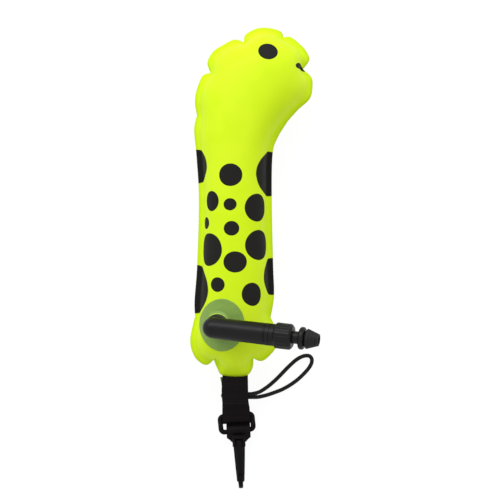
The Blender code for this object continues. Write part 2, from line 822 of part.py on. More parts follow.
def rectangle(half_x, half_n, place, normal):
    corners = (half_x, half_n), (-half_x, half_n), (-half_x, -half_n), (half_x, -half_n)
    return [place + Vector((x, 0, 0)) + normal * n for x, n in corners]


def chamfered(half_x, half_n, place, normal, share=CORNER_SHARE):
    """A rectangle with cut corners round a place, one side along X and the other along the normal."""
    cut = min(half_x, half_n) * share
    corners = (
        (half_x, half_n - cut),
        (half_x - cut, half_n),
        (cut - half_x, half_n),
        (-half_x, half_n - cut),
        (-half_x, cut - half_n),
        (cut - half_x, -half_n),
        (half_x - cut, -half_n),
        (half_x, cut - half_n),
    )
    return [place + Vector((x, 0, 0)) + normal * n for x, n in corners]


def hanger_tab(colour):
    """The tab of the bladder's own sheets that hangs between the webbing's plies, doubled by its hem."""
    rings = []
    top = FOOT_Y - TAB_GAP
    for k in range(TAB_STEPS + 1):
        y = top - TAB_LENGTH * k / TAB_STEPS
        place = strap_middle(y) + Vector((TAB_X, 0, 0))
        across = strap_direction(y).cross(Vector((1, 0, 0)))
        half = TAB_THICKNESS if k else TAB_THICKNESS / 2
        rings.append(rectangle(TAB_WIDTH / 2, half, place, across))
    loft("hanger_tab", rings, colour)


def cord_pieces(colour):
    """The doubled cord caught between the plies, and the free loop that comes out on the right."""
    cord_shares = [share for share, held in PLY_SHARES if held == "cord"]
    y = strap_y(sum(cord_shares) / len(cord_shares))
    middle, onward = strap_middle(y), strap_direction(y)
    right, left = STRAP_X + STRAP_WIDTH / 2, STRAP_X - STRAP_WIDTH / 2
    radius = (CORD_DIAMETER + GAP) / 2
    turn_x = left - CORD_BUMP + CORD_DIAMETER / 2 + radius
    turn = [math.pi * (1 / 2 + k / FOLD_STEPS) for k in range(FOLD_STEPS + 1)]
    bend = [(turn_x + radius * math.cos(a), -radius * math.sin(a)) for a in turn]
    route = [(right, -radius), *bend, (right, radius)]
    held = [middle + Vector((x, 0, 0)) + onward * along for x, along in route]
    tube("cord_bight", held, CORD_DIAMETER, colour)

    out = Vector((right + GAP, 0, 0))
    straight = Vector((CORD_DIAMETER, 0, 0))
    upper, lower = middle + out - onward * radius, middle + out + onward * radius
    free = [Vector(point) * MM for point in CORD_ROUTE]
    path = smooth_path([upper, upper + straight, *free, lower + straight, lower])
    loop = resampled(path, round(path_length(path) / (2 * CORD_DIAMETER)))
    loop = [upper, upper + straight / 2, *loop[1:-1], lower + straight / 2, lower]
    tube("cord_loop", loop, CORD_DIAMETER, colour)
    print("cord_loop: its free length is", round(path_length(path) / MM), "mm")


def across_x(name, half_length, radius, place, parent, colour=None):
    """A plain round bar along the parent's X axis."""
    profile = (-half_length, 0), (-half_length, radius), (half_length, radius), (half_length, 0)
    bar = turned(name, profile, parent, colour)
    bar.location = place
    return bar


def hook_axes():
    """Empties at the ring's upper bar, at its lower bar, which the hook turns on, and at the gate's pin."""
    ring_length = 2 * ring_half_height()
    ring_pitch = math.asin((KNUCKLE_RADIUS + GAP - RING_Z) / ring_length)
    turn = Matrix.Rotation(RING_TILT, 4, "Z") @ Matrix.Rotation(-ring_pitch, 4, "X")
    ring_axis = empty("ring_axis", Matrix.Translation((RING_X, RING_Y, RING_Z)) @ turn)
    hook_turn = Matrix.Rotation(HOOK_TILT, 4, "Z") @ Matrix.Rotation(-HOOK_PITCH, 4, "X")
    place = Matrix.Translation((HOOK_SHIFT, -ring_length, 0))
    hook_axis = empty("hook_axis", place @ turn.inverted() @ hook_turn, ring_axis)
    gate_axis = empty("gate_axis", Matrix.Translation(gate_pivot()), hook_axis)
    return ring_axis, hook_axis, gate_axis


def gate_pivot():
    along, up = GATE_PIVOT_SHARES
    return Vector((0, -HOOK_LENGTH * along, HOOK_DEPTH * up))


def hook_ring(ring_axis, colour):
    """The rounded loop that the webbing runs through."""
    half_x, half_y = (RING_WIDTH - RING_WIRE) / 2, ring_half_height()
    radius = RING_CORNER - RING_WIRE / 2
    points = []
    corners = ((1, 1, 0), (-1, 1, 1), (-1, -1, 2), (1, -1, 3))
    for sign_x, sign_y, quarter in corners:
        centre = Vector((sign_x * (half_x - radius), sign_y * (half_y - radius) - half_y, 0))
        for k in range(RING_CORNER_STEPS + 1):
            angle = math.pi / 2 * (quarter + k / RING_CORNER_STEPS)
            points.append(centre + Vector((math.cos(angle), math.sin(angle), 0)) * radius)
    tube("hook_ring", points, RING_WIRE, colour, ring_axis, resolution=2, cyclic=True)


def hook_bend():
    """The hook's middle line in its own Y and Z, with its half width across."""
    bend = []
    for length_share, depth_share, taper in HOOK_SHARES:
        width = SHANK_WIDTH + (TIP_WIDTH - SHANK_WIDTH) * taper
        bend.append((-length_share * HOOK_LENGTH, depth_share * HOOK_DEPTH, width / 2))
    return smooth_path(bend, BEND_STEPS)


def hook_body(hook_axis, colour, steel):
    """Knuckle, shoulders and bend in one moulding, with two ears for the gate."""
    body = across_x("hook_body", KNUCKLE_WIDTH / 2, KNUCKLE_RADIUS, (0, 0, 0), hook_axis, colour)
    up = Vector((0, 0, 1))
    rings = []
    for along, wide, deep in SHOULDER_SHARES:
        half_x = (SHANK_WIDTH + (KNUCKLE_WIDTH - SHANK_WIDTH) * wide) / 2
        half_z = KNUCKLE_RADIUS * SHOULDER_DEPTH_SHARE * deep
        rings.append(chamfered(half_x, half_z, Vector((0, -KNUCKLE_RADIUS * along, 0)), up))
    boolean(body, loft("shoulder_shape", rings, None, hook_axis), "UNION")

    bend = hook_bend()
    rings = []
    for i, point in enumerate(bend):
        before, after = bend[max(i - 1, 0)], bend[min(i + 1, len(bend) - 1)]
        onward = Vector((0, after.x - before.x, after.y - before.y)).normalized()
        place = Vector((0, point.x, point.y))
        rings.append(chamfered(point.z, HOOK_SECTION / 2, place, onward.cross(Vector((1, 0, 0)))))
    boolean(body, loft("bend_shape", rings, None, hook_axis), "UNION")

    pivot = gate_pivot()
    ear_radius = GATE_THICKNESS
    ear_start = -KNUCKLE_RADIUS * EAR_START_SHARE
    ears = []
    for y in (ear_start, pivot.y - ear_radius):
        ears.append(chamfered(SHANK_WIDTH / 2, ear_radius, Vector((0, y, pivot.z)), up))
    boolean(body, loft("ear_shape", ears, None, hook_axis), "UNION")
    slot_start, slot_end = pivot.y + GATE_HEEL + GATE_HEEL_GAP, pivot.y - 2 * ear_radius
    slot_low = pivot.z - 2 * leaf_depth() - LEAF_THICKNESS / 2 - GAP
    slot_high = pivot.z + ear_radius + OVERRUN
    slot = []
    for y in (slot_start, slot_end):
        place = Vector((0, y, (slot_low + slot_high) / 2))
        slot.append(rectangle(GATE_WIDTH / 2 + GAP, (slot_high - slot_low) / 2, place, up))
    boolean(body, loft("gate_slot_cutter", slot, None, hook_axis), "DIFFERENCE")
    cut_length = KNUCKLE_WIDTH / 2 + OVERRUN
    hole = across_x("pin_hole_cutter", cut_length, GATE_PIN_RADIUS + SLIDE_GAP, pivot, hook_axis)
    boolean(body, hole, "DIFFERENCE")
    bore = across_x("ring_bore_cutter", cut_length, RING_WIRE / 2 + HOOK_PLAY, (0, 0, 0), hook_axis)
    boolean(body, bore, "DIFFERENCE")
    across_x("gate_pin", SHANK_WIDTH / 2, GATE_PIN_RADIUS, pivot, hook_axis, steel)


def leaf_depth():
    """From the gate's middle to the middle of the leaf that lies under it."""
    return GATE_THICKNESS / 2 + LEAF_THICKNESS / 2 + GAP


def hook_gate(hook_axis, gate_axis, colour, steel):
    """The gate from its heel behind the pin to just short of the nose, and the leaf that closes it."""
    nose = Vector((0, *hook_bend()[-1].xy))
    pivot = gate_pivot()
    tip = nose - pivot + Vector((0, GATE_TIP_GAP, 0))
    along = tip.normalized()
    across = along.cross(Vector((1, 0, 0)))
    half = GATE_THICKNESS / 2
    places = ((-GATE_HEEL * along, GATE_WIDTH), (tip / 2, GATE_WIDTH), (tip, (GATE_WIDTH + TIP_WIDTH) / 2))
    rings = [chamfered(width / 2, half, place, across) for place, width in places]
    gate = loft("hook_gate", rings, colour, gate_axis)
    hole = across_x("gate_hole_cutter", GATE_WIDTH, GATE_PIN_RADIUS + SLIDE_GAP, (0, 0, 0), gate_axis)
    boolean(gate, hole, "DIFFERENCE")

    under = leaf_depth()
    start = pivot + Vector((0, GATE_HEEL, -2 * under))
    middle = pivot + Vector((0, -GATE_HEEL, -2 * under))
    end = pivot + tip / 2 - across * under
    path = smooth_path([start, middle, middle.lerp(end, 1 / 2) - across * LEAF_THICKNESS, end], BEND_STEPS)
    rings = []
    for i, place in enumerate(path):
        onward = (path[min(i + 1, len(path) - 1)] - path[max(i - 1, 0)]).normalized()
        leaf_across = onward.cross(Vector((1, 0, 0)))
        rings.append(chamfered(LEAF_WIDTH / 2, LEAF_THICKNESS / 2, place, leaf_across))
    loft("gate_spring", rings, steel, hook_axis)


def main():
    clear_scene()
    yellow = material("fluorescent_sheet", (0.72, 0.98, 0.07), 0.42)
    milky = material("translucent_patch", (0.33, 0.46, 0.16), 0.4, alpha=0.8)
    plastic = material("black_plastic", (0.03, 0.028, 0.029), 0.42)
    rubber = material("black_rubber", (0.025, 0.024, 0.025), 0.6)
    webbing = material("black_webbing", (0.035, 0.03, 0.034), 0.85)
    steel = material("stainless_steel", (0.6, 0.6, 0.58), 0.3, metallic=1)

    front = bladder_sheet("bladder_front", 1, FRONT_DEPTH, FRONT_RING_ANGLES, yellow)
    bladder_sheet("bladder_back", -1, BACK_DEPTH, BACK_RING_ANGLES, yellow)
    uncut = bladder_sheet("uncut_sheet_guide", 1, FRONT_DEPTH, FRONT_RING_ANGLES, yellow)
    uncut.hide_render = True
    uncut.display_type = "WIRE"
    stub_axis, tube_axis = valve_axes(uncut)
    valve_patch(stub_axis, milky)
    hole = upright("boss_hole_cutter", -2 * NECK_DROP, 2 * NECK_DROP, BOSS_RADIUS + GAP, stub_axis)
    boolean(front, hole, "DIFFERENCE")
    inflator_tube(tube_axis, plastic)
    seal_height = STUB_LIFT + STUB_FOOT_LENGTH - O_RING
    seal = o_ring("elbow_o_ring", seal_height, NECK_RADIUS + GAP + O_RING / 2, stub_axis, rubber)
    seal.data.transform(Matrix.Rotation(-math.pi / 2, 4, "Y"))
    valve_pieces(tube_axis, plastic, rubber, steel)

    hanger_tab(yellow)
    webbing_strap(webbing)
    cord_pieces(rubber)
    ring_axis, hook_axis, gate_axis = hook_axes()
    hook_ring(ring_axis, plastic)
    hook_body(hook_axis, plastic, steel)
    hook_gate(hook_axis, gate_axis, plastic, steel)


main()
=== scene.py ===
"""Inflatable dive marker buoy, lying on its back on a pale studio floor and seen from straight above."""

import math

import bmesh
import bpy
from mathutils import Matrix, Vector, noise
from mathutils.bvhtree import BVHTree
from mathutils.geometry import interpolate_bezier


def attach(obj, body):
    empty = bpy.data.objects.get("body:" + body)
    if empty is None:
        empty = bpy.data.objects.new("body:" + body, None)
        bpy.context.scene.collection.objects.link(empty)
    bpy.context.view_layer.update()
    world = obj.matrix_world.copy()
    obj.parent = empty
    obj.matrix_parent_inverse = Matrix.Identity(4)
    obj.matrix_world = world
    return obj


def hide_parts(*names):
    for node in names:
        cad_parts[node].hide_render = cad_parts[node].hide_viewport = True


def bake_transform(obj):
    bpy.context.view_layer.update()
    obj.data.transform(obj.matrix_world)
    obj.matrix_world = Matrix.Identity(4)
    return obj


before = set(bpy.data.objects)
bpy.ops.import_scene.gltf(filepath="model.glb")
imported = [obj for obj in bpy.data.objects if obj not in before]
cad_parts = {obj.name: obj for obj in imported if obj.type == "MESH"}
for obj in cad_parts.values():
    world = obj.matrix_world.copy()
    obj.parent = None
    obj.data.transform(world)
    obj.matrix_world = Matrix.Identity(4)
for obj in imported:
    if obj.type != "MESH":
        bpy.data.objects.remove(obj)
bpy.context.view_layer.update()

MM = 0.001

# Camera: a long lens, straight above the middle of the buoy. At the height of the bladder's seam a
# millimetre of the buoy is a pixel of the picture.
seam_height = 30.5 * MM
camera_data = bpy.data.cameras.new("camera")
camera_data.sensor_width = 36
camera_data.lens = 180
camera = bpy.data.objects.new("camera", camera_data)
camera.location = (14 * MM, 0, seam_height + 2.5)
bpy.context.scene.collection.objects.link(camera)
bpy.context.scene.camera = camera


# Cord loop: a soft braided cord, caught between the plies of the webbing. Its free part leaves the
# webbing's right edge, drops to the floor, turns round and comes back to the same edge.
class Value:
    """A socket of a material's nodes. Sums written with it add Math nodes."""

    def __init__(self, finish, socket):
        self.finish = finish
        self.socket = socket

    def __add__(self, other):
        return self.finish.math("ADD", self, other)

    def __radd__(self, other):
        return self.finish.math("ADD", other, self)

    def __sub__(self, other):
        return self.finish.math("SUBTRACT", self, other)

    def __rsub__(self, other):
        return self.finish.math("SUBTRACT", other, self)

    def __mul__(self, other):
        return self.finish.math("MULTIPLY", self, other)

    def __rmul__(self, other):
        return self.finish.math("MULTIPLY", other, self)

    def __truediv__(self, other):
        return self.finish.math("DIVIDE", self, other)

    def __pow__(self, other):
        return self.finish.math("POWER", self, other)

    def __abs__(self):
        return self.finish.math("ABSOLUTE", self)

    def fraction(self):
        return self.finish.math("FRACT", self)

    def whole(self):
        return self.finish.math("FLOOR", self)

    def ping_pong(self, reach):
        return self.finish.math("PINGPONG", self, reach)

    def at_least(self, other):
        return self.finish.math("MAXIMUM", self, other)

    def at_most(self, other):
        return self.finish.math("MINIMUM", self, other)

    def step(self, low, high):
        """0 below low, 1 above high, and a smooth rise between them."""
        settings = {"interpolation_type": "SMOOTHSTEP"}
        inputs = {"Value": self, "From Min": low, "From Max": high}
        return self.finish.node("ShaderNodeMapRange", settings, inputs)


class Finish:
    """A material with one shader, and the nodes that feed it."""

    def __init__(self, name, roughness, metallic=0, specular=0.5, sheen=0):
        self.material = bpy.data.materials.new(name)
        self.material.use_nodes = True
        self.nodes = self.material.node_tree.nodes
        self.links = self.material.node_tree.links
        self.shader = self.nodes["Principled BSDF"]
        self.set("Roughness", roughness)
        self.set("Metallic", metallic)
        self.set("Specular IOR Level", specular)
        self.set("Sheen Weight", sheen)

    def node(self, kind, settings, inputs, output=0):
        """Adds a node: its settings first, a ramp's stops among them, then what its sockets get."""
        made = self.nodes.new(kind)
        for name, value in settings.items():
            if name == "stops":
                self.stops(made.color_ramp.elements, value)
            else:
                setattr(made, name, value)
        for name, value in inputs.items():
            self.feed(made.inputs[name], value)
        return Value(self, made.outputs[output])

    def stops(self, elements, wanted):
        while len(elements) < len(wanted):
            elements.new(1)
        for element, (place, colour) in zip(elements, wanted):
            element.position = place
            element.color = colour

    def feed(self, socket, value):
        if isinstance(value, Value):
            self.links.new(value.socket, socket)
        elif socket.type == "RGBA":
            socket.default_value = (*value, 1)
        else:
            socket.default_value = value

    def set(self, name, value):
        self.feed(self.shader.inputs[name], value)

    def math(self, operation, *values):
        return self.node("ShaderNodeMath", {"operation": operation}, dict(enumerate(values)))

    def blend(self, share, first, second):
        """A colour between two others."""
        return self.node("ShaderNodeMix", {"data_type": "RGBA"}, {0: share, 6: first, 7: second}, output=2)

    def place(self):
        """Where the point lies on the buoy, in metres."""
        return self.node("ShaderNodeTexCoord", {}, {}, output="Object")

    def parts(self, vector):
        """A vector's three numbers."""
        return [self.node("ShaderNodeSeparateXYZ", {}, {"Vector": vector}, output=k) for k in range(3)]

    def map(self, name):
        """A piece's own UV map, in metres along and across it."""
        return self.node("ShaderNodeUVMap", {"uv_map": name}, {})

    def grain(self, size, detail=3):
        """Noise whose grains are about so many metres across."""
        inputs = {"Vector": self.place(), "Scale": 1 / size, "Detail": detail, "Roughness": 0.55}
        return self.node("ShaderNodeTexNoise", {}, inputs)

    def bump(self, height, depth):
        """Raises the surface by so many metres where the height is 1."""
        inputs = {"Strength": 1, "Distance": depth, "Height": height}
        self.set("Normal", self.node("ShaderNodeBump", {}, inputs))


def smooth_path(points, steps=12):
    """Points along a smooth curve through the given ones."""
    points = [Vector(point) for point in points]
    path = []
    for i in range(len(points) - 1):
        start, end = points[i], points[i + 1]
        before, after = points[max(i - 1, 0)], points[min(i + 2, len(points) - 1)]
        handles = start + (end - before) / 6, end - (after - start) / 6
        path += interpolate_bezier(start, *handles, end, steps)[:-1]
    return path + [points[-1]]


def round_bar(name, path, diameter, sides=12, caps=True):
    """A curve along points with a round section, and a UV map of metres along and round it."""
    data = bpy.data.curves.new(name, "CURVE")
    data.dimensions = "3D"
    data.bevel_depth = diameter / 2
    data.bevel_resolution = sides // 4
    data.use_fill_caps = caps
    spline = data.splines.new("POLY")
    spline.points.add(len(path) - 1)
    for place, point in zip(spline.points, path):
        place.co = (*point, 1)
    bar = bpy.data.objects.new(name, data)
    bpy.context.scene.collection.objects.link(bar)
    return bar


cord_diameter, strand_pitch = 4 * MM, 2.6 * MM
cord_exit = (12.3 * MM, -144.57 * MM, 19.176 * MM)
cord_return = (12.3 * MM, -147.918 * MM, 16.479 * MM)
cord_route = (
    (15.7, -144.57, 19.176),
    (22.7, -143.1, 15),
    (28.4, -140.1, 10.8),
    (33.9, -136.3, 6.9),
    (39.7, -131.4, 4),
    (44.9, -126.3, 2.7),
    (50.6, -120.4, 2.2),
    (55.6, -115.5, 2.1),
    (60.6, -111.2, 2.1),
    (65.4, -108.3, 2.1),
    (69.9, -106.9, 2.1),
    (74, -107.2, 2.1),
    (76.5, -110.3, 2.1),
    (76, -114.9, 2.1),
    (73, -120, 2.1),
    (68.2, -125.4, 2.1),
    (62.2, -131, 2.1),
    (54.9, -136.3, 2.3),
    (47.1, -140.7, 3.1),
    (39, -143.8, 5.4),
    (30.9, -146.3, 9.2),
    (22.7, -147.9, 13),
    (15.7, -147.918, 16.479),
)
cord_path = smooth_path([cord_exit, *[Vector(point) * MM for point in cord_route], cord_return])
cord_length = sum((b - a).length for a, b in zip(cord_path, cord_path[1:]))
cord_loop = round_bar("cord_loop_braid", cord_path, cord_diameter, 16)


def braid(name, strands_along, strands_round):
    """Black braided cord: two sets of strands that cross, each strand rounded."""
    finish = Finish(name, 0.66, specular=0.15, sheen=0.05)
    along, around, _ = finish.parts(finish.node("ShaderNodeTexCoord", {}, {}, output="UV"))
    one = (along * strands_along + around * strands_round).fraction()
    other = (along * strands_along - around * strands_round).fraction()
    height = (one.ping_pong(0.5) * 2).at_least(other.ping_pong(0.5) * 2)
    thread = finish.grain(0.4 * MM)
    finish.bump(height + thread * 0.3, 0.22 * MM)
    # Painted shade: the colour is darker in the hollows between the strands and lighter on their crowns,
    # following the bump height.
    shade = finish.blend(height.step(0.45, 1), (0.004, 0.004, 0.0045), (0.014, 0.013, 0.014))
    finish.set("Base Color", shade)
    return finish


cord_finish = braid("cord_black", cord_length / strand_pitch, 4)
cord_loop.data.materials.append(cord_finish.material)
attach(cord_loop, "strap")
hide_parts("cord_loop")

# Floor and light: a pale matt floor under a wide soft lamp above the buoy's head and to its left, with
# an even white surround. To the camera and in reflections both are plain white.
floor_bm = bmesh.new()
bmesh.ops.create_grid(floor_bm, x_segments=1, y_segments=1, size=6)
floor_mesh = bpy.data.meshes.new("floor")
floor_bm.to_mesh(floor_mesh)
floor_bm.free()
floor = bpy.data.objects.new("floor", floor_mesh)
bpy.context.scene.collection.objects.link(floor)

floor_finish = Finish("floor_paper", 0.9, specular=0.1)
floor_finish.set("Base Color", (0.93, 0.93, 0.93))
light_path = floor_finish.node("ShaderNodeLightPath", {}, {}, output="Is Camera Ray")
white = floor_finish.node("ShaderNodeEmission", {}, {"Color": (1, 1, 1), "Strength": 1.06})
shader_out = Value(floor_finish, floor_finish.shader.outputs["BSDF"])
floor_look = floor_finish.node("ShaderNodeMixShader", {}, {0: light_path * 0.88, 1: shader_out, 2: white})
floor_finish.feed(floor_finish.nodes["Material Output"].inputs["Surface"], floor_look)
floor_mesh.materials.append(floor_finish.material)

world = bpy.data.worlds.new("surround")
world.use_nodes = True
bpy.context.scene.world = world
world_nodes, world_links = world.node_tree.nodes, world.node_tree.links
background = world_nodes["Background"]
background.inputs["Color"].default_value = (1, 1, 1, 1)
seen = world_nodes.new("ShaderNodeLightPath")
strength = world_nodes.new("ShaderNodeMapRange")
direct = seen.outputs["Is Camera Ray"]
for ray in ("Is Glossy Ray", "Is Transmission Ray"):
    either = world_nodes.new("ShaderNodeMath")
    either.operation = "MAXIMUM"
    world_links.new(direct, either.inputs[0])
    world_links.new(seen.outputs[ray], either.inputs[1])
    direct = either.outputs[0]
world_links.new(direct, strength.inputs["Value"])
strength.inputs["To Min"].default_value = 0.61
strength.inputs["To Max"].default_value = 1
world_links.new(strength.outputs["Result"], background.inputs["Strength"])

lamp_data = bpy.data.lights.new("soft_lamp", "AREA")
lamp_data.shape = "RECTANGLE"
lamp_data.size = 3.2
lamp_data.size_y = 0.9
lamp_data.energy = 26
lamp = bpy.data.objects.new("soft_lamp", lamp_data)
lamp.location = (-0.35, 1.4, 1.25)
lamp.rotation_mode = "QUATERNION"
lamp.rotation_quaternion = (-lamp.location).to_track_quat("-Z", "Y")
bpy.context.scene.collection.objects.link(lamp)
bpy.context.scene.view_settings.view_transform = "Standard"


# Bladder: two sheets of fluorescent yellow film, cut to one outline, printed with black spots and welded
# together along a rim that gathers between its scallops where the air pulls it in.
bladder_length = 349 * MM
body_width = 79 * MM
foot_y = -126.5 * MM
sheet_thickness = 0.8 * MM
weld_width = 5.2 * MM
front_depth = 31 * MM
back_depth = 31.3 * MM
roundness = 2.2
# Stretches of the rim from notch to notch, clockwise from the top of the head: shares of the body's
# width from the middle and of the length up from the foot.
rim_stretches = (
    ((0.099, 0.958), (0.123, 0.980), (0.284, 0.998), (0.456, 0.997), (0.575, 0.987), (0.599, 0.971)),
    ((0.599, 0.971), (0.687, 0.973), (0.816, 0.951), (0.892, 0.931), (0.929, 0.907), (0.848, 0.880)),
    ((0.848, 0.880), (0.946, 0.860), (0.970, 0.838), (0.937, 0.797), (0.785, 0.764), (0.658, 0.732)),
    (
        (0.658, 0.732), (0.527, 0.684), (0.463, 0.635), (0.453, 0.506),
        (0.470, 0.322), (0.481, 0.231), (0.438, 0.170),
    ),
    ((0.438, 0.170), (0.506, 0.133), (0.519, 0.090), (0.413, 0.057), (0.316, 0.044), (0.219, 0.052)),
    (
        (0.219, 0.052), (0.213, 0.027), (0.147, 0.004), (0.009, 0),
        (-0.177, 0.004), (-0.238, 0.024), (-0.281, 0.049),
    ),
    (
        (-0.281, 0.049), (-0.346, 0.035), (-0.424, 0.036),
        (-0.529, 0.059), (-0.580, 0.105), (-0.519, 0.173),
    ),
    (
        (-0.519, 0.173), (-0.524, 0.219), (-0.491, 0.322), (-0.470, 0.506),
        (-0.499, 0.629), (-0.530, 0.706), (-0.494, 0.749),
    ),
    ((-0.494, 0.749), (-0.519, 0.781), (-0.505, 0.815), (-0.427, 0.860), (-0.324, 0.870)),
    ((-0.324, 0.870), (-0.362, 0.900), (-0.292, 0.930), (-0.185, 0.947), (-0.025, 0.965), (0.099, 0.958)),
)
# The middle line from foot to head: the same shares, then the share of the full depth there.
middle_line = (
    (-0.032, 0.116, 1.04),
    (-0.013, 0.205, 1.02),
    (-0.005, 0.334, 1),
    (-0.009, 0.491, 1),
    (-0.018, 0.620, 1.02),
    (0.019, 0.712, 1.06),
    (0.127, 0.784, 1.12),
    (0.266, 0.835, 1.14),
    (0.367, 0.867, 1.12),
)
ring_angles = (0, 3, 7, 12, 18, 24, 31, 38, 45, 52, 59, 66, 73, 80, 86)


def on_bladder(share_x, share_y):
    return Vector((share_x * body_width, foot_y + share_y * bladder_length))


def evenly(path, step):
    """Points about a step apart along a path, without its last one."""
    lengths = [0]
    for a, b in zip(path, path[1:]):
        lengths.append(lengths[-1] + (b - a).length)
    count = max(3, round(lengths[-1] / step))
    found, i = [], 0
    for k in range(count):
        wanted = lengths[-1] * k / count
        while lengths[i + 1] < wanted:
            i += 1
        found.append(path[i].lerp(path[i + 1], (wanted - lengths[i]) / (lengths[i + 1] - lengths[i])))
    return found


def eased(values, reach):
    """Each value of a closed loop becomes the mean of its neighbours."""
    count = len(values)
    window = range(-reach, reach + 1)
    sums = [sum((values[(k + j) % count] for j in window), Vector((0, 0, 0))) for k in range(count)]
    return [total / len(window) for total in sums]


rim = []
for stretch in rim_stretches:
    rim += evenly(smooth_path([on_bladder(*shares) for shares in stretch], 16), 2 * MM)
spine = smooth_path([(*on_bladder(x, y), depth) for x, y, depth in middle_line], 40)
feet = [min(spine, key=lambda point: (point.to_2d() - place).length_squared) for place in rim]
feet = eased(eased(feet, 12), 12)
inward = [(foot.to_2d() - place).normalized().to_3d() for place, foot in zip(rim, feet)]
weld_line = [place.to_3d() + way * weld_width for place, way in zip(rim, inward)]


def swollen_sheet(name, side, depth):
    """One sheet: its flat welded rim, then rings that rise to the crest. Side is 1 in front, -1 behind."""
    weld_z = seam_height + side * (sheet_thickness + 0.05 * MM)
    bm = bmesh.new()
    pattern = bm.verts.layers.float_vector.new("pattern")
    ring = [bm.verts.new((*place, weld_z)) for place in rim]
    edges = [bm.edges.new(pair) for pair in zip(ring, ring[1:] + ring[:1])]
    for vertex, place in zip(ring, rim):
        vertex[pattern] = (*place, 0)
    run = [0] * len(ring)
    for row, angle in enumerate(ring_angles):
        fresh = bmesh.ops.extrude_edge_only(bm, edges=edges)["geom"]
        edges = [item for item in fresh if isinstance(item, bmesh.types.BMEdge)]
        above = {item for item in fresh if isinstance(item, bmesh.types.BMVert)}
        raised = [next(e.other_vert(v) for e in v.link_edges if e.other_vert(v) in above) for v in ring]
        across = math.cos(math.radians(angle)) ** (2 / roundness)
        up = math.sin(math.radians(angle)) ** (2 / roundness)
        eased_weld = eased(eased(weld_line, row), row)
        for k, (vertex, weld, foot) in enumerate(zip(raised, eased_weld, feet)):
            weld = weld.to_2d()
            ground = foot.to_2d().lerp(weld, across)
            height = weld_z + side * depth * foot.z * up
            pucker = noise.noise(Vector((k * 2 / 7, side * 9, 0)))
            pucker += 0.6 * noise.noise(Vector((k * 2 / 3.1, 5, 0)))
            pucker *= 0.75 * MM * math.exp(-((ground - weld).length + abs(height - weld_z)) / (9 * MM))
            height += side * pucker * min(1, row / 2)
            vertex.co = (*ground, max(height, 0))
            run[k] += (vertex.co - ring[k].co).length
            vertex[pattern] = (0, 0, run[k])
        ring = raised
    bmesh.ops.triangle_fill(bm, edges=edges, use_beauty=True, normal=(0, 0, side))
    bm.verts.ensure_lookup_table()
    corner = bm.verts[len(rim) : 6 * len(rim)]
    every_way = {"use_axis_x": True, "use_axis_y": True, "use_axis_z": True}
    for _ in range(5):
        bmesh.ops.smooth_vert(bm, verts=corner, factor=0.5, **every_way)
    low = [vertex for vertex in bm.verts if side < 0 and vertex.co.z < 6 * MM]
    if low:
        for _ in range(8):
            bmesh.ops.smooth_vert(bm, verts=low, factor=0.5, **every_way)
    # The pattern's places run evenly along the film from the rim to the crest, as they did when it lay flat.
    bm.verts.ensure_lookup_table()
    count = len(rim)
    run = [reach + (vertex.co.to_2d() - foot.to_2d()).length for reach, vertex, foot in zip(run, ring, feet)]
    for k, vertex in enumerate(bm.verts):
        column = k % count
        share = vertex[pattern].z / run[column]
        vertex[pattern] = (*rim[column].lerp(feet[column].to_2d(), share), vertex[pattern].z)
    bmesh.ops.recalc_face_normals(bm, faces=bm.faces)
    if sum(face.normal.z * face.calc_area() for face in bm.faces) * side < 0:
        bmesh.ops.reverse_faces(bm, faces=bm.faces)
    mesh = bpy.data.meshes.new(name)
    bm.to_mesh(mesh)
    bm.free()
    mesh.shade_smooth()
    sheet = bpy.data.objects.new(name, mesh)
    bpy.context.scene.collection.objects.link(sheet)
    return sheet


front_sheet = swollen_sheet("front_film", 1, front_depth)
back_sheet = swollen_sheet("back_film", -1, back_depth)
front_surface = BVHTree.FromObject(front_sheet, bpy.context.evaluated_depsgraph_get())


def seen_on_film(x, y):
    """The point and the face of the front film where the camera sees a place at the seam's height."""
    seen = Vector((x, y, seam_height))
    hit, _, index, _ = front_surface.ray_cast(camera.location, (seen - camera.location).normalized())
    if hit is None or hit.z < seam_height:
        hit, _, index, _ = front_surface.find_nearest(seen)
    return hit, index


def on_pattern(x, y):
    """Where a place that the camera sees lies on the flat cut of the film."""
    hit, index = seen_on_film(x * MM, y * MM)
    mesh = front_sheet.data
    places = mesh.attributes["pattern"].data
    corners = mesh.polygons[index].vertices
    weights = [1 / max((mesh.vertices[v].co - hit).length, 1e-6) for v in corners]
    total = Vector((0, 0))
    for v, w in zip(corners, weights):
        total += Vector(places[v].vector[:2]) * w
    return total / sum(weights)


# The printed spots as they look from above, in millimetres: the middle, then how far they reach sideways
# and upwards. Those at the sides run on round the edge, and reach towards the body's middle line.
whole_spots = (
    (-5.35, 75.4, 11.35, 11.4),
    (-24, 48.85, 5.8, 10.1),
    (-6.05, 45.9, 6.05, 6.1),
    (19.5, 42.6, 9.6, 13.9),
    (-29.3, 27, 2.1, 6),
    (-4.35, 21.65, 7.65, 7.65),
    (20.8, 4.9, 9.8, 15.1),
    (-24.9, 0.1, 8.3, 16.6),
    (-0.9, -11.85, 11.4, 10.95),
    (-18.6, -34.65, 6.8, 7.65),
    (15.8, -44.4, 9.9, 11.6),
)
side_spots = (
    (-39, 83.5, 9.8, 17.3),
    (32.5, 76, -12.5, 22.5),
    (35.5, -27, -7.5, 19.5),
    (-39.5, -39, 11.5, 24),
)
eye, eye_half, eye_lean = (32, 198.6), (9.9, 8.1), math.radians(-12)
mouth_start, mouth_end = (62.6, 184.3), (68.6, 178.3)
mouth_radius, mouth_tip = 2.9 * MM, 0.3 * MM


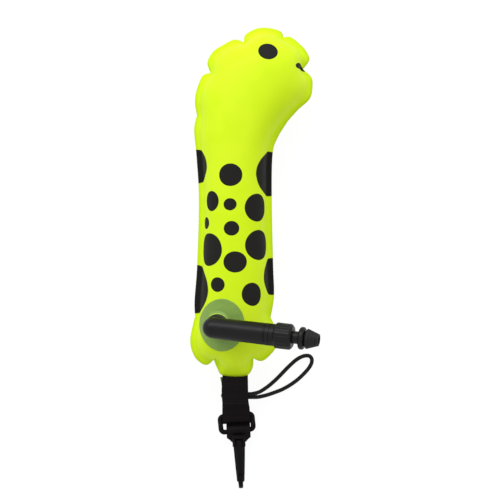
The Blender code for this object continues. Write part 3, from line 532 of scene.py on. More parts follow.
def printed_film(name):
    """Satin yellow film with its print: spots, an eye and a mouth in black ink."""
    finish = Finish(name, 0.5, specular=0.1)
    pattern = finish.node("ShaderNodeAttribute", {"attribute_name": "pattern"}, {}, output="Vector")
    waver = (finish.grain(14 * MM, 1) - 0.5) * 0.05
    nearest = 9
    placings = []
    for x, y, half_x, half_y in whole_spots:
        left, right = on_pattern(x - half_x, y), on_pattern(x + half_x, y)
        low, high = on_pattern(x, y - half_y), on_pattern(x, y + half_y)
        size = ((right - left).length / 2, (high - low).length / 2, 1000)
        placings.append((pattern, (*(left + right + low + high) / 4, 0), size, 0))
    for x, y, half_x, half_y in side_spots:
        middle = on_pattern(x, y)
        side, top = on_pattern(x + half_x, y), on_pattern(x, y + half_y)
        size = ((side - middle).length, (top - middle).length, 1000)
        placings.append((pattern, (*middle, 0), size, 0))
    eye_place, _ = seen_on_film(eye[0] * MM, eye[1] * MM)
    nearer = MM * (camera.location.z - eye_place.z) / (camera.location.z - seam_height)
    eye_size = (eye_half[0] * nearer, eye_half[1] * nearer, 1000)
    placings.append((finish.place(), (*eye_place.to_2d(), 0), eye_size, eye_lean))
    for space, middle, size, lean in placings:
        placed = finish.node(
            "ShaderNodeMapping",
            {"vector_type": "TEXTURE"},
            {"Vector": space, "Location": middle, "Rotation": (0, 0, lean), "Scale": size},
        )
        away = finish.node("ShaderNodeVectorMath", {"operation": "LENGTH"}, {0: placed}, output="Value")
        nearest = away.at_most(nearest)
    ink = 1 - (nearest + waver).step(0.98, 1.02)
    start, end = (seen_on_film(x * MM, y * MM)[0].to_2d() for x, y in (mouth_start, mouth_end))
    reach = end - start
    px, py, _ = finish.parts(finish.place())
    _, _, from_rim = finish.parts(pattern)
    px, py = px - start.x, py - start.y
    share = ((px * reach.x + py * reach.y) / reach.length_squared).at_least(0).at_most(1)
    away = ((px - share * reach.x) ** 2 + (py - share * reach.y) ** 2) ** 0.5
    radius = mouth_radius + share * (mouth_tip - mouth_radius)
    ink = ink.at_least(1 - (away - radius).step(-0.15 * MM, 0.15 * MM))
    pressed = 1 - from_rim.step(weld_width - 0.9 * MM, weld_width + 0.3 * MM)
    cloud = finish.grain(45 * MM, 2)
    film = finish.blend(cloud.step(0.35, 0.65), (0.69, 0.96, 0.012), (0.74, 0.99, 0.02))
    film = finish.blend(pressed * 0.6, film, (0.66, 0.94, 0.01))
    black = finish.blend(finish.grain(1.2 * MM), (0.01, 0.0097, 0.0085), (0.016, 0.0155, 0.0135))
    finish.set("Base Color", finish.blend(ink, film, black))
    matt = 1 - from_rim.step(weld_width + 3 * MM, weld_width + 16 * MM)
    finish.set("Roughness", (0.38 + cloud * 0.1 + ink * 0.1).at_least(matt * 0.9))
    leather = finish.grain(0.9 * MM, 2)
    finish.bump(leather * 0.12 + ink * 0.25 - pressed * 0.3, 0.12 * MM)
    return finish


film_finish = printed_film("fluorescent_film")
for sheet, node in ((front_sheet, "bladder_front"), (back_sheet, "bladder_back")):
    sheet.data.materials.append(film_finish.material)
    wall = sheet.modifiers.new("Film", "SOLIDIFY")
    wall.thickness = sheet_thickness
    wall.offset = -1
    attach(sheet, "bladder")
    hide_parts(node)


# Valve patch: a disc of milky, see-through film welded over the front sheet, with a moulded boss in the
# middle that the elbow snaps into and turns on.
patch_middle = (-13.5 * MM, -74 * MM)
patch_size = (44 * MM, 51.5 * MM)
patch_thickness = 0.8 * MM
stub_foot = Vector((-17.5, -73.87, 60.74)) * MM
tube_turn = Matrix(((0.96462, 0.06905, -0.25444), (-0.10479, 0.986, -0.12971), (0.24192, 0.15179, 0.95835)))
stub_up = tube_turn.col[2]
boss_outer, boss_height = 12.2 * MM, 1.6 * MM

patch_bm = bmesh.new()
spokes = [patch_bm.verts.new((k / 30, 0, 0)) for k in range(31)]
spoke_edges = [patch_bm.edges.new(pair) for pair in zip(spokes, spokes[1:])]
bmesh.ops.spin(
    patch_bm,
    geom=spokes + spoke_edges,
    cent=(0, 0, 0),
    axis=(0, 0, 1),
    angle=math.tau,
    steps=120,
    use_merge=True,
)
bmesh.ops.remove_doubles(patch_bm, verts=patch_bm.verts, dist=0.001)
for vertex in patch_bm.verts:
    x = patch_middle[0] + vertex.co.x * patch_size[0] / 2
    y = patch_middle[1] + vertex.co.y * patch_size[1] / 2
    hit, normal, _, _ = front_surface.ray_cast(Vector((x, y, 1)), Vector((0, 0, -1)))
    place = hit + normal * (patch_thickness + 0.15 * MM)
    away = place - stub_foot
    from_stub = (away - stub_up * away.dot(stub_up)).length
    rise = min(max((boss_outer + 0.8 * MM - from_stub) / (1.4 * MM), 0), 1)
    wanted = stub_foot + stub_up * boss_height
    lift = max((wanted - place).dot(stub_up), 0)
    vertex.co = place + stub_up * lift * rise * rise * (3 - 2 * rise)
bmesh.ops.recalc_face_normals(patch_bm, faces=patch_bm.faces)
if sum(face.normal.z for face in patch_bm.faces) < 0:
    bmesh.ops.reverse_faces(patch_bm, faces=patch_bm.faces)
patch_mesh = bpy.data.meshes.new("patch_film")
patch_bm.to_mesh(patch_mesh)
patch_bm.free()
patch_mesh.shade_smooth()
patch = bpy.data.objects.new("patch_film", patch_mesh)
bpy.context.scene.collection.objects.link(patch)
patch_wall = patch.modifiers.new("Film", "SOLIDIFY")
patch_wall.thickness = patch_thickness
patch_wall.offset = -1

patch_finish = Finish("milky_film", 0.33)
vector_math, subtract, dot, length = (
    "ShaderNodeVectorMath",
    {"operation": "SUBTRACT"},
    {"operation": "DOT_PRODUCT"},
    {"operation": "LENGTH"},
)
place = patch_finish.node(vector_math, subtract, {0: patch_finish.place(), 1: stub_foot})
along = patch_finish.node(vector_math, dot, {0: place, 1: stub_up}, output="Value")
whole = patch_finish.node(vector_math, length, {0: place}, output="Value")
from_stub = (whole ** 2 - along ** 2).at_least(0) ** 0.5
clear = 1 - from_stub.step(boss_outer - 0.9 * MM, boss_outer - 0.2 * MM)
milk = patch_finish.blend(patch_finish.grain(9 * MM).step(0.3, 0.7), (0.2, 0.36, 0.05), (0.24, 0.41, 0.06))
patch_finish.set("Base Color", patch_finish.blend(clear, milk, (0.62, 0.9, 0.07)))
patch_finish.bump(patch_finish.grain(1.6 * MM), 0.03 * MM)
patch_mesh.materials.append(patch_finish.material)
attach(patch, "bladder")
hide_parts("valve_flange")


# Elbow and tube: one moulding in black plastic. A short stub turns on the boss below it, and a tube that
# widens a little carries the breath across to the valve. Two fine grooves ring its far end, and a small
# round recess marks the top of the elbow.
tube_start = Vector((-22.33, -76.34, 78.95)) * MM
tube_place = Matrix.Translation(tube_start) @ tube_turn.to_4x4()
elbow_radius, tube_end_radius, tube_length = 10.4 * MM, 10.9 * MM, 58 * MM
elbow_height = 19 * MM
stub_radius, stub_foot_radius, stub_foot_length = 10.15 * MM, 11.1 * MM, 5 * MM
tube_bore, spigot_radius, spigot_length = 7 * MM, 8.2 * MM, 8 * MM
neck_radius, neck_bore, neck_rise = 6.6 * MM, 5.2 * MM, 11 * MM
gap = 0.3 * MM


def spun(name, profile, steps=96, upright=False):
    """A round piece of points (along, radius), turned about the tube's axis, or about the stub's."""
    bm = bmesh.new()
    points = [bm.verts.new((along, 0, radius)) for along, radius in profile]
    closed = profile[0][1] > 0
    pairs = zip(points, points[1:] + points[:1] if closed else points[1:])
    edges = [bm.edges.new(pair) for pair in pairs]
    bmesh.ops.spin(
        bm,
        geom=points + edges,
        cent=(0, 0, 0),
        axis=(1, 0, 0),
        angle=math.tau,
        steps=steps,
        use_merge=True,
    )
    bmesh.ops.remove_doubles(bm, verts=bm.verts, dist=0.001 * MM)
    bmesh.ops.recalc_face_normals(bm, faces=bm.faces)
    if upright:
        bmesh.ops.rotate(bm, verts=bm.verts, cent=(0, 0, 0), matrix=Matrix.Rotation(-math.pi / 2, 3, "Y"))
    mesh = bpy.data.meshes.new(name)
    bm.to_mesh(mesh)
    bm.free()
    mesh.transform(tube_place)
    mesh.shade_smooth()
    piece = bpy.data.objects.new(name, mesh)
    bpy.context.scene.collection.objects.link(piece)
    return piece


def soften(piece, width, segments=3, sharpest=30):
    """Rounds the edges that turn by more than so many degrees."""
    edge = piece.modifiers.new("Edges", "BEVEL")
    edge.width = width
    edge.segments = segments
    edge.limit_method = "ANGLE"
    edge.angle_limit = math.radians(sharpest)
    edge.harden_normals = True


def finished(piece):
    """Bakes the modifiers into the mesh and lets go of the shapes they used."""
    graph = bpy.context.evaluated_depsgraph_get()
    mesh = bpy.data.meshes.new_from_object(piece.evaluated_get(graph))
    used = [m.object for m in piece.modifiers if m.type == "BOOLEAN"]
    piece.modifiers.clear()
    piece.data = mesh
    for shape in used:
        bpy.data.objects.remove(shape)
    return piece


def joined(piece, other, operation="UNION"):
    change = piece.modifiers.new(operation.title(), "BOOLEAN")
    change.operation = operation
    change.solver = "EXACT"
    change.object = other


rounding = [math.pi / 2 * k / 16 for k in range(17)]
tube_profile = [(-elbow_radius * math.cos(a), elbow_radius * math.sin(a)) for a in rounding]
tube_profile[0] = (-elbow_radius, 0)
tube_profile += [
    (tube_length - 5.4 * MM, tube_end_radius - 0.1 * MM),
    (tube_length - 5.2 * MM, tube_end_radius - 0.35 * MM),
    (tube_length - 4.9 * MM, tube_end_radius - 0.35 * MM),
    (tube_length - 4.7 * MM, tube_end_radius - 0.08 * MM),
    (tube_length - 4.2 * MM, tube_end_radius - 0.06 * MM),
    (tube_length - 4 * MM, tube_end_radius - 0.35 * MM),
    (tube_length - 3.7 * MM, tube_end_radius - 0.35 * MM),
    (tube_length - 3.5 * MM, tube_end_radius),
    (tube_length, tube_end_radius),
    (tube_length, 0),
]
tube = spun("elbow_and_tube", tube_profile, 128)
stub = spun(
    "stub_shape",
    (
        (boss_height - elbow_height, 0),
        (boss_height - elbow_height, stub_foot_radius),
        (boss_height - elbow_height + stub_foot_length, stub_foot_radius),
        (boss_height - elbow_height + stub_foot_length + 0.8 * MM, stub_radius),
        (0, stub_radius),
        (0, 0),
    ),
    128,
    upright=True,
)
joined(tube, stub)
bore = spun(
    "bore_shape",
    (
        (-tube_bore / 2, 0),
        (-tube_bore / 2, tube_bore),
        (tube_length - spigot_length - gap, tube_bore),
        (tube_length - spigot_length - gap, spigot_radius + gap),
        (tube_length + gap, spigot_radius + gap),
        (tube_length + gap, 0),
    ),
)
joined(tube, bore, "DIFFERENCE")
socket = spun(
    "socket_shape",
    (
        (-elbow_height, 0),
        (-elbow_height, neck_radius + 1.9 * MM),
        (neck_rise - elbow_height + gap, neck_radius + 1.9 * MM),
        (neck_rise - elbow_height + gap, neck_bore),
        (gap, neck_bore),
        (gap, 0),
    ),
    upright=True,
)
joined(tube, socket, "DIFFERENCE")
mark_floor, mark_radius = elbow_radius - 0.3 * MM, 0.6 * MM
mark = spun(
    "mark_shape",
    ((mark_floor, 0), (mark_floor, mark_radius), (2 * elbow_radius, mark_radius), (2 * elbow_radius, 0)),
    24,
    upright=True,
)
mark.data.transform(Matrix.Translation(tube_turn.col[0] * 9.8 * MM))
joined(tube, mark, "DIFFERENCE")
soften(tube, 0.25 * MM)
finished(tube)


def moulded(name, colour=(0.003, 0.0028, 0.0032), roughness=0.32, specular=0.22, grain=0.5 * MM):
    """Black injection-moulded plastic: a fine spark-eroded grain, with faint clouds and handling shine."""
    finish = Finish(name, roughness, specular=specular)
    cloud = finish.grain(7 * MM, 2)
    lighter = [value * 1.5 for value in colour]
    finish.set("Base Color", finish.blend(cloud.step(0.3, 0.75), colour, lighter))
    finish.set("Roughness", roughness - 0.05 + cloud * 0.12)
    finish.bump(finish.grain(grain, 2) + finish.grain(3 * MM, 1) * 0.6, 0.05 * MM)
    return finish


plastic_finish = moulded("black_plastic")
tube.data.materials.append(plastic_finish.material)
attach(tube, "inflator")
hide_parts("inflator_tube")

# Valve housing: a turned plastic body with its spigot in the tube's end. Its plain ring shows between the
# tube and the collar, and the locking collar runs on its nose.
ring_start, ring_end = tube_length + gap, tube_length + 5 * MM
nose_end, nose_radius = ring_end + 15.6 * MM, 9.6 * MM
guide_start, guide_radius = nose_end - 5 * MM, 7.7 * MM
housing_bore = 6.6 * MM
housing = spun(
    "valve_body",
    (
        (tube_length - spigot_length, housing_bore),
        (tube_length - spigot_length, spigot_radius),
        (ring_start, spigot_radius),
        (ring_start, tube_end_radius),
        (ring_end, tube_end_radius),
        (ring_end, nose_radius),
        (nose_end, nose_radius),
        (nose_end, guide_radius + gap),
        (guide_start - gap, guide_radius + gap),
        (guide_start - gap, housing_bore),
    ),
)
soften(housing, 0.2 * MM)
finished(housing)
housing.data.materials.append(plastic_finish.material)
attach(housing, "inflator")
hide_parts("valve_housing")

# Locking collar: a gripped ring that screws along the nose. Run out to the flange it holds the valve shut.
grips = 18
grip_depth = 0.4 * MM
collar_radius = 12.7 * MM
stem_radius = 6.2 * MM
collar_start, web_start = ring_end + gap, nose_end + 2 * gap
collar_end = web_start + 1.8 * MM
collar_bore = nose_radius + 0.25 * MM
groove_middle, groove_half, groove_radius = collar_start + 3.9 * MM, 0.9 * MM, 11.4 * MM
collar = spun(
    "grip_collar",
    (
        (collar_start, collar_bore),
        (collar_start, collar_radius - 1.2 * MM),
        (collar_start + 0.7 * MM, collar_radius - 0.6 * MM),
        (collar_start + 1.3 * MM, collar_radius),
        (collar_start + 5 * MM, collar_radius),
        (collar_start + 11 * MM, collar_radius),
        (collar_end - 2.2 * MM, collar_radius),
        (collar_end - 1.2 * MM, collar_radius - 0.9 * MM),
        (collar_end, collar_radius - 2.4 * MM),
        (collar_end, stem_radius + gap),
        (web_start, stem_radius + gap),
        (web_start, collar_bore),
        (groove_middle + groove_half, collar_bore),
        (groove_middle + groove_half, groove_radius),
        (groove_middle - groove_half, groove_radius),
        (groove_middle - groove_half, collar_bore),
    ),
    steps=grips * 8,
)
soften(collar, 0.2 * MM)
finished(collar)
to_tube = tube_place.inverted()
for vertex in collar.data.vertices:
    place = to_tube @ vertex.co
    radius = math.hypot(place.y, place.z)
    share = min(max((radius - collar_radius + 0.7 * MM) / (0.5 * MM), 0), 1)
    flute = abs(math.sin(grips / 2 * math.atan2(place.z, place.y))) ** 0.7
    place.yz *= 1 - grip_depth * (1 - flute) * share / radius
    vertex.co = tube_place @ place
collar.data.materials.append(plastic_finish.material)
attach(collar, "collar")
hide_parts("locking_collar")

# Stem, flange and mouthpiece: pushing the mouthpiece in slides the stem through the housing and opens the
# valve. The plastic flange stops it against the collar, and the soft mouthpiece is ribbed for the lips.
flange_start = collar_end + 6.3 * MM + gap
flange_end, flange_radius = flange_start + 5.2 * MM, 11.1 * MM
mouth_start = flange_end + gap
mouth_length, mouth_base_radius, mouth_tip_radius = 14 * MM, 10 * MM, 5.7 * MM
mouth_end, mouth_bore = mouth_start + mouth_length, 4.3 * MM
stem_end, stem_bore = mouth_start + mouth_length * 0.33, 3.6 * MM
seat_start = tube_length - spigot_length + gap
plug_start = seat_start + 2.5 * MM + 11.3 * MM + 2 * gap
stem = spun(
    "breathing_stem",
    (
        (seat_start - 2 * gap - 3 * MM, 0),
        (seat_start - 2 * gap - 3 * MM, 1.5 * MM),
        (plug_start, 1.5 * MM),
        (plug_start, stem_radius),
        (stem_end, stem_radius),
        (stem_end, stem_bore),
        (plug_start + 3 * MM, stem_bore),
        (plug_start + 3 * MM, 0),
    ),
)
window_reach, window_radius = 9 * MM, 1.6 * MM
window = spun(
    "window_shape",
    ((-window_reach, 0), (-window_reach, window_radius), (window_reach, window_radius), (window_reach, 0)),
    48,
    upright=True,
)
window.data.transform(Matrix.Translation(tube_turn.col[0] * (plug_start + 4.9 * MM)))
joined(stem, window, "DIFFERENCE")
soften(stem, 0.15 * MM)
finished(stem)
stem.data.materials.append(plastic_finish.material)
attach(stem, "mouthpiece")
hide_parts("valve_stem")

chamfer = 1.2 * MM
flange = spun(
    "stop_flange",
    (
        (flange_start, stem_radius + gap),
        (flange_start, flange_radius - chamfer),
        (flange_start + chamfer, flange_radius),
        (flange_end - chamfer, flange_radius),
        (flange_end, flange_radius - chamfer),
        (flange_end, stem_radius + gap),
    ),
)
soften(flange, 0.25 * MM, sharpest=20)
finished(flange)
flange.data.materials.append(plastic_finish.material)
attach(flange, "mouthpiece")
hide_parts("stem_flange")

ribs = 3
rib_depth = 0.6 * MM
lip = [(mouth_start, stem_radius + gap), (mouth_start, mouth_base_radius * 0.72)]
cone_start = mouth_start + 0.14 * mouth_length
rib_length = (mouth_end - cone_start) / (ribs + 1)
for k in range(ribs + 1):
    crest = mouth_base_radius + (mouth_tip_radius - mouth_base_radius) * k / (ribs + 1)
    lip += [
        (cone_start + rib_length * k, crest - 0.25 * MM),
        (cone_start + rib_length * (k + 0.1), crest),
        (cone_start + rib_length * (k + 0.62), crest - rib_depth),
        (cone_start + rib_length * (k + 0.8), crest - rib_depth * 1.35),
        (cone_start + rib_length * (k + 0.95), crest - rib_depth * 1.2),
    ]
lip += [
    (mouth_end, mouth_tip_radius - rib_depth),
    (mouth_end, mouth_bore),
    (stem_end + gap, mouth_bore),
    (stem_end + gap, stem_radius + gap),
]
mouthpiece = spun("lip_piece", lip)
soften(mouthpiece, 0.3 * MM, sharpest=15)
finished(mouthpiece)


def rubber(name):
    """Soft black rubber: matt, with a faint bloom and fine pores."""
    finish = Finish(name, 0.6, specular=0.25)
    bloom = finish.grain(5 * MM)
    shade = finish.blend(bloom.step(0.35, 0.8), (0.009, 0.0085, 0.009), (0.017, 0.016, 0.017))
    finish.set("Base Color", shade)
    finish.set("Roughness", 0.5 + bloom * 0.2)
    finish.bump(finish.grain(0.35 * MM), 0.04 * MM)
    return finish


rubber_finish = rubber("soft_rubber")
mouthpiece.data.materials.append(rubber_finish.material)
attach(mouthpiece, "mouthpiece")
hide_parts("mouthpiece")


# Inner pieces of the valve and the hook's steel: they stay as the frame has them, with their own finishes.
def steel(name):
    """Bright stainless wire and strip, with faint marks of drawing."""
    finish = Finish(name, 0.28, metallic=1)
    marks = finish.grain(0.6 * MM, 2)
    finish.set("Base Color", finish.blend(marks, (0.5, 0.5, 0.48), (0.66, 0.66, 0.64)))
    finish.set("Roughness", 0.22 + marks * 0.14)
    finish.bump(marks, 0.01 * MM)
    return finish


inner_finishes = {
    plastic_finish: ("valve_seat", "stem_guide", "valve_poppet"),
    rubber_finish: ("poppet_seal", "elbow_o_ring", "collar_o_ring"),
    steel("stainless_steel"): ("return_spring", "gate_spring"),
    moulded("black_pin", roughness=0.6): ("gate_pin",),
}
for finish, nodes in inner_finishes.items():
    for node in nodes:
        for material_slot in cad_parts[node].material_slots:
            material_slot.material = finish.material


# Webbing: one length folded round the ring and sewn through the bladder's tab, so two plies run side by
# side from the bladder's foot to the ring. The cord is caught between them. It is taken as 25 mm webbing,
# and its edges follow the photo, where it looks up to 28.6 mm wide at the fold.
ring_y, ring_z = -166.8 * MM, 4.5 * MM
ring_wire = 5 * MM
tab_thickness = 0.9 * MM
ply, webbing_width = 1.5 * MM, 25 * MM
strap_top, strap_foot = foot_y - 0.45 * MM, ring_y - 4.2 * MM
strap_slant = math.tan(math.radians(2.6))
# How far the plies lie apart along the strap: share of its run, then the thickness of what is between them.
ply_gaps = (
    (0, 2 * tab_thickness),
    (0.26, 2 * tab_thickness),
    (0.35, cord_diameter),
    (0.53, cord_diameter),
    (0.64, 0),
    (0.72, 0),
    (0.85, ring_wire),
    (1, ring_wire),
)
# The webbing's left and right edges: share of its run, then their places across.
webbing_edges = (
    (0, -13.5 * MM, 11.8 * MM),
    (0.15, -14.2 * MM, 12 * MM),
    (0.3, -14.5 * MM, 12.1 * MM),
    (0.42, -14.3 * MM, 12.2 * MM),
    (0.55, -13.9 * MM, 12.4 * MM),
    (0.8, -14 * MM, 13.7 * MM),
    (1, -14.1 * MM, 14.5 * MM),
)


def strap_middle(y):
    """The middle between the plies, which sinks from the seam to the ring."""
    share = min(max((foot_y - y) / (foot_y - ring_y), 0), 1)
    sunk = (share + share * share * (3 - 2 * share)) / 2
    return Vector((0, y, seam_height + (ring_z - seam_height) * sunk))


def strap_direction(y):
    return (strap_middle(y - ply) - strap_middle(y + ply)).normalized()


def along_table(table, share):
    """The values of a table at a share of its run, eased between its rows."""
    for (start, *first), (end, *second) in zip(table, table[1:]):
        if share <= end:
            s = (share - start) / (end - start)
            s = s * s * (3 - 2 * s)
            return [a + (b - a) * s for a, b in zip(first, second)]
    return table[-1][1:]


strap_rows, fold_rows, strap_columns = 90, 20, 28
front_ply, back_ply = [], []
for k in range(strap_rows + 1):
    share = k / strap_rows
    y = strap_top + (strap_foot - strap_top) * share
    apart = along_table(ply_gaps, share)[0] / 2 + gap + ply / 2
    away = strap_direction(y).cross(Vector((1, 0, 0))) * apart
    front_ply.append((strap_middle(y) - away, share))
    back_ply.append((strap_middle(y) + away, share))
fold_middle = strap_middle(strap_foot)
fold_radius = ring_wire / 2 + gap + ply / 2
fold = []
for k in range(1, fold_rows):
    turn = math.pi * k / fold_rows
    fold.append((fold_middle + Vector((0, -math.sin(turn), math.cos(turn))) * fold_radius, 1))
webbing_path = front_ply + fold + back_ply[::-1]
webbing_bm = bmesh.new()
bmesh.ops.create_grid(webbing_bm, x_segments=strap_columns, y_segments=len(webbing_path) - 1, size=1)
lengthwise = webbing_bm.loops.layers.uv.new("weave")
run = [0]
for (a, _), (b, _) in zip(webbing_path, webbing_path[1:]):
    run.append(run[-1] + (b - a).length)
rows = {}
for vertex in webbing_bm.verts:
    rows[vertex] = round((vertex.co.y + 1) / 2 * (len(webbing_path) - 1))
    across = (vertex.co.x + 1) / 2
    place, share = webbing_path[rows[vertex]]
    left, right = along_table(webbing_edges, share)
    vertex.co = Vector((left + (right - left) * across, place.y, place.z))
    # Its top edge bends up with the bladder's rim, and its foot lies along the slanting hook.
    foot_share = max(share - 0.6, 0) / 0.4
    vertex.co.y += vertex.co.x * strap_slant * foot_share * foot_share * (3 - 2 * foot_share)
    vertex.co.y += 1.5 * MM * (2 * across - 1) ** 2 * max(1 - share / 0.2, 0)
for face in webbing_bm.faces:
    for corner in face.loops:
        left, right = along_table(webbing_edges, webbing_path[rows[corner.vert]][1])
        corner[lengthwise].uv = (corner.vert.co.x - left, run[rows[corner.vert]])
        corner[lengthwise].uv.x *= webbing_width / (right - left)
bmesh.ops.recalc_face_normals(webbing_bm, faces=webbing_bm.faces)
webbing_mesh = bpy.data.meshes.new("hanger_webbing")
webbing_bm.to_mesh(webbing_mesh)
webbing_bm.free()
webbing_mesh.shade_smooth()
webbing = bpy.data.objects.new("hanger_webbing", webbing_mesh)
bpy.context.scene.collection.objects.link(webbing)
webbing_wall = webbing.modifiers.new("Ply", "SOLIDIFY")
webbing_wall.thickness = ply
webbing_wall.offset = 0
soften(webbing, 0.45 * MM)
finished(webbing)


def woven(name, width, stitch_rows):
    """Black webbing: warp ribs, a fine weft over and under them, selvedges and rows of stitches."""
    finish = Finish(name, 0.75, specular=0.07, sheen=0.03)
    across, along, _ = finish.parts(finish.map("weave"))
    rib = (across / (1.3 * MM)).ping_pong(0.5) * 2
    over = (along / (0.8 * MM) + (across / (1.3 * MM)).whole() * 0.5).ping_pong(0.5) * 2
    edge = (abs(across / width - 0.5)).step(0.43, 0.45)
    weave = rib ** 0.6 * 0.7 + over * 0.3
    thread = 0
    for middle in stitch_rows:
        near = 1 - (abs(along - middle)).step(0.25 * MM, 0.45 * MM)
        dash = (across / (2.4 * MM)).ping_pong(0.5).step(0.08, 0.16)
        thread = (near * dash).at_least(thread)
    fuzz = finish.grain(0.5 * MM, 3)
    height = weave * (1 - edge) + edge * over * 0.8 + fuzz * 0.25
    finish.bump(height * (1 - thread) + thread * 1.3, 0.16 * MM)
    # Painted shade: the colour is darker in the hollows of the weave and lighter on the ribs, following the
    # bump height.
    shade = finish.blend(weave.step(0.2, 0.9), (0.0045, 0.0033, 0.004), (0.0125, 0.0085, 0.0105))
    finish.set("Base Color", finish.blend(thread * 0.7, shade, (0.016, 0.014, 0.016)))
    return finish


seams = (7 * MM, 27.5 * MM, 31.5 * MM)
back_seams = [run[-1] - seam for seam in seams]
webbing_finish = woven("black_webbing", webbing_width, (*seams, *back_seams))
webbing.data.materials.append(webbing_finish.material)
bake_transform(webbing)
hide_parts("webbing_strap")

# Hanger tab: the bladder's own two sheets, welded flat and hemmed, that hang between the plies. A corner
# of it shows at the webbing's left edge.
tab_top, tab_foot = foot_y - 0.7 * MM, foot_y - 9.7 * MM
tab_edges = ((0, -15.7 * MM, 11.2 * MM), (0.75, -14.6 * MM, 11.2 * MM), (1, -14.3 * MM, 11.2 * MM))
tab_bm = bmesh.new()
bmesh.ops.create_grid(tab_bm, x_segments=24, y_segments=18, size=1)
for vertex in tab_bm.verts:
    share = (1 - vertex.co.y) / 2
    left, right = along_table(tab_edges, share)
    place = strap_middle(tab_top + (tab_foot - tab_top) * share)
    vertex.co = Vector((left + (right - left) * (vertex.co.x + 1) / 2, place.y, place.z))
tab_mesh = bpy.data.meshes.new("hanger_tab_film")
tab_bm.to_mesh(tab_mesh)
tab_bm.free()
tab_mesh.shade_smooth()
tab = bpy.data.objects.new("hanger_tab_film", tab_mesh)
bpy.context.scene.collection.objects.link(tab)
tab_wall = tab.modifiers.new("Film", "SOLIDIFY")
tab_wall.thickness = 1.5 * tab_thickness
tab_wall.offset = 0
soften(tab, 0.3 * MM)
finished(tab)
# The tab is the same yellow film as the bladder. Its dark olive colour is painted shade, standing in for the
# shade it lies in beside and under the webbing. The grain only varies that tone.
tab_finish = Finish("tab_film_painted_shade", 0.5, specular=0.2)
rolled = tab_finish.grain(1.1 * MM, 2)
tab_finish.set("Base Color", tab_finish.blend(rolled, (0.1, 0.19, 0.006), (0.16, 0.27, 0.01)))
tab_finish.bump(rolled, 0.08 * MM)
tab.data.materials.append(tab_finish.material)
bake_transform(tab)
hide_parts("hanger_tab")

# Cord bight: the part of the cord that is caught between the plies. It goes in at the right, turns round
# just past the webbing's left edge and comes back out beside itself.
bight_middle = (Vector(cord_exit) + Vector(cord_return)) / 2
bight_way = Vector(cord_return) - Vector(cord_exit)
bight_radius = bight_way.length / 2
bight_way.normalize()
bight_turn = -15.2 * MM + cord_diameter / 2 + bight_radius
bight_path = [bight_middle - bight_way * bight_radius - Vector((0.3 * MM, 0, 0))]
for k in range(25):
    turn = math.pi * k / 24
    place = bight_middle - bight_way * bight_radius * math.cos(turn)
    place.x = bight_turn - bight_radius * math.sin(turn)
    bight_path.append(place)
bight_path.append(bight_middle + bight_way * bight_radius - Vector((0.3 * MM, 0, 0)))
bight = round_bar("cord_bight_braid", bight_path, cord_diameter, 16)
bight_length = sum((b - a).length for a, b in zip(bight_path, bight_path[1:]))
bight.data.materials.append(braid("cord_black_held", bight_length / strand_pitch, 4).material)
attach(bight, "strap")
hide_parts("cord_bight")


# Hook ring: a moulded plastic loop with rounded corners. The webbing is folded round its upper bar and the
# hook turns on its lower one.
ring_turn = Matrix(((0.99415, -0.10582, -0.0216), (0.108, 0.97407, 0.19883), (0, -0.2, 0.9798)))
ring_place = Matrix.Translation((-0.3 * MM, ring_y, ring_z)) @ ring_turn.to_4x4()
ring_width, ring_height, ring_corner = 37.7 * MM, 21 * MM, 6 * MM
half_x, half_y = (ring_width - ring_wire) / 2, (ring_height - ring_wire) / 2
bend_radius = ring_corner - ring_wire / 2
ring_path = []
for quarter, (side_x, side_y) in enumerate(((1, 1), (-1, 1), (-1, -1), (1, -1))):
    for k in range(13):
        turn = math.pi / 2 * (quarter + k / 12)
        x = side_x * (half_x - bend_radius) + bend_radius * math.cos(turn)
        y = side_y * (half_y - bend_radius) + bend_radius * math.sin(turn) - half_y
        ring_path.append(ring_place @ Vector((x, y, 0)))
ring = round_bar("hook_ring_loop", ring_path, ring_wire, 24, caps=False)
ring.data.splines[0].use_cyclic_u = True
hook_finish = moulded("hook_black", colour=(0.0035, 0.0024, 0.0032), roughness=0.42, specular=0.08)
ring.data.materials.append(hook_finish.material)
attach(ring, "hook_ring")
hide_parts("hook_ring")


# Hook: one moulding of a knuckle that turns on the ring's lower bar, a tapered shank that bends round into
# a narrow nose, and two ears that hold the gate's pin.
hook_turn = Matrix(((0.99897, -0.04522, -0.00364), (0.04536, 0.99575, 0.08012), (0, -0.0802, 0.99678)))
hook_place = Matrix.Translation((2.39 * MM, -182.28 * MM, 7.7 * MM)) @ hook_turn.to_4x4()
knuckle_width, knuckle_radius = 24 * MM, 7.4 * MM
hook_length, hook_depth, hook_section = 58 * MM, 25 * MM, 5 * MM
shank_width, tip_width = 13 * MM, 4.6 * MM
pin_radius, slide = 1.1 * MM, 0.25 * MM
gate_thickness, gate_width = 3.6 * MM, 7 * MM
pivot = Vector((0, -0.217 * hook_length, 0.32 * hook_depth))
leaf_thickness = 0.5 * MM
leaf_depth = gate_thickness / 2 + leaf_thickness / 2 + gap
# The bend from the knuckle to the nose: shares of the length and the depth, then how far it has narrowed.
bend_shares = (
    (0.06, -0.04, 0),
    (0.17, -0.17, 0.05),
    (0.30, -0.25, 0.18),
    (0.46, -0.28, 0.29),
    (0.66, -0.28, 0.45),
    (0.82, -0.24, 0.6),
    (0.862, -0.195, 0.65),
    (0.885, -0.16, 1),
    (0.925, -0.08, 1),
    (0.955, 0.1, 1),
    (0.925, 0.3, 1),
    (0.85, 0.41, 0.9),
    (0.77, 0.435, 0.75),
)


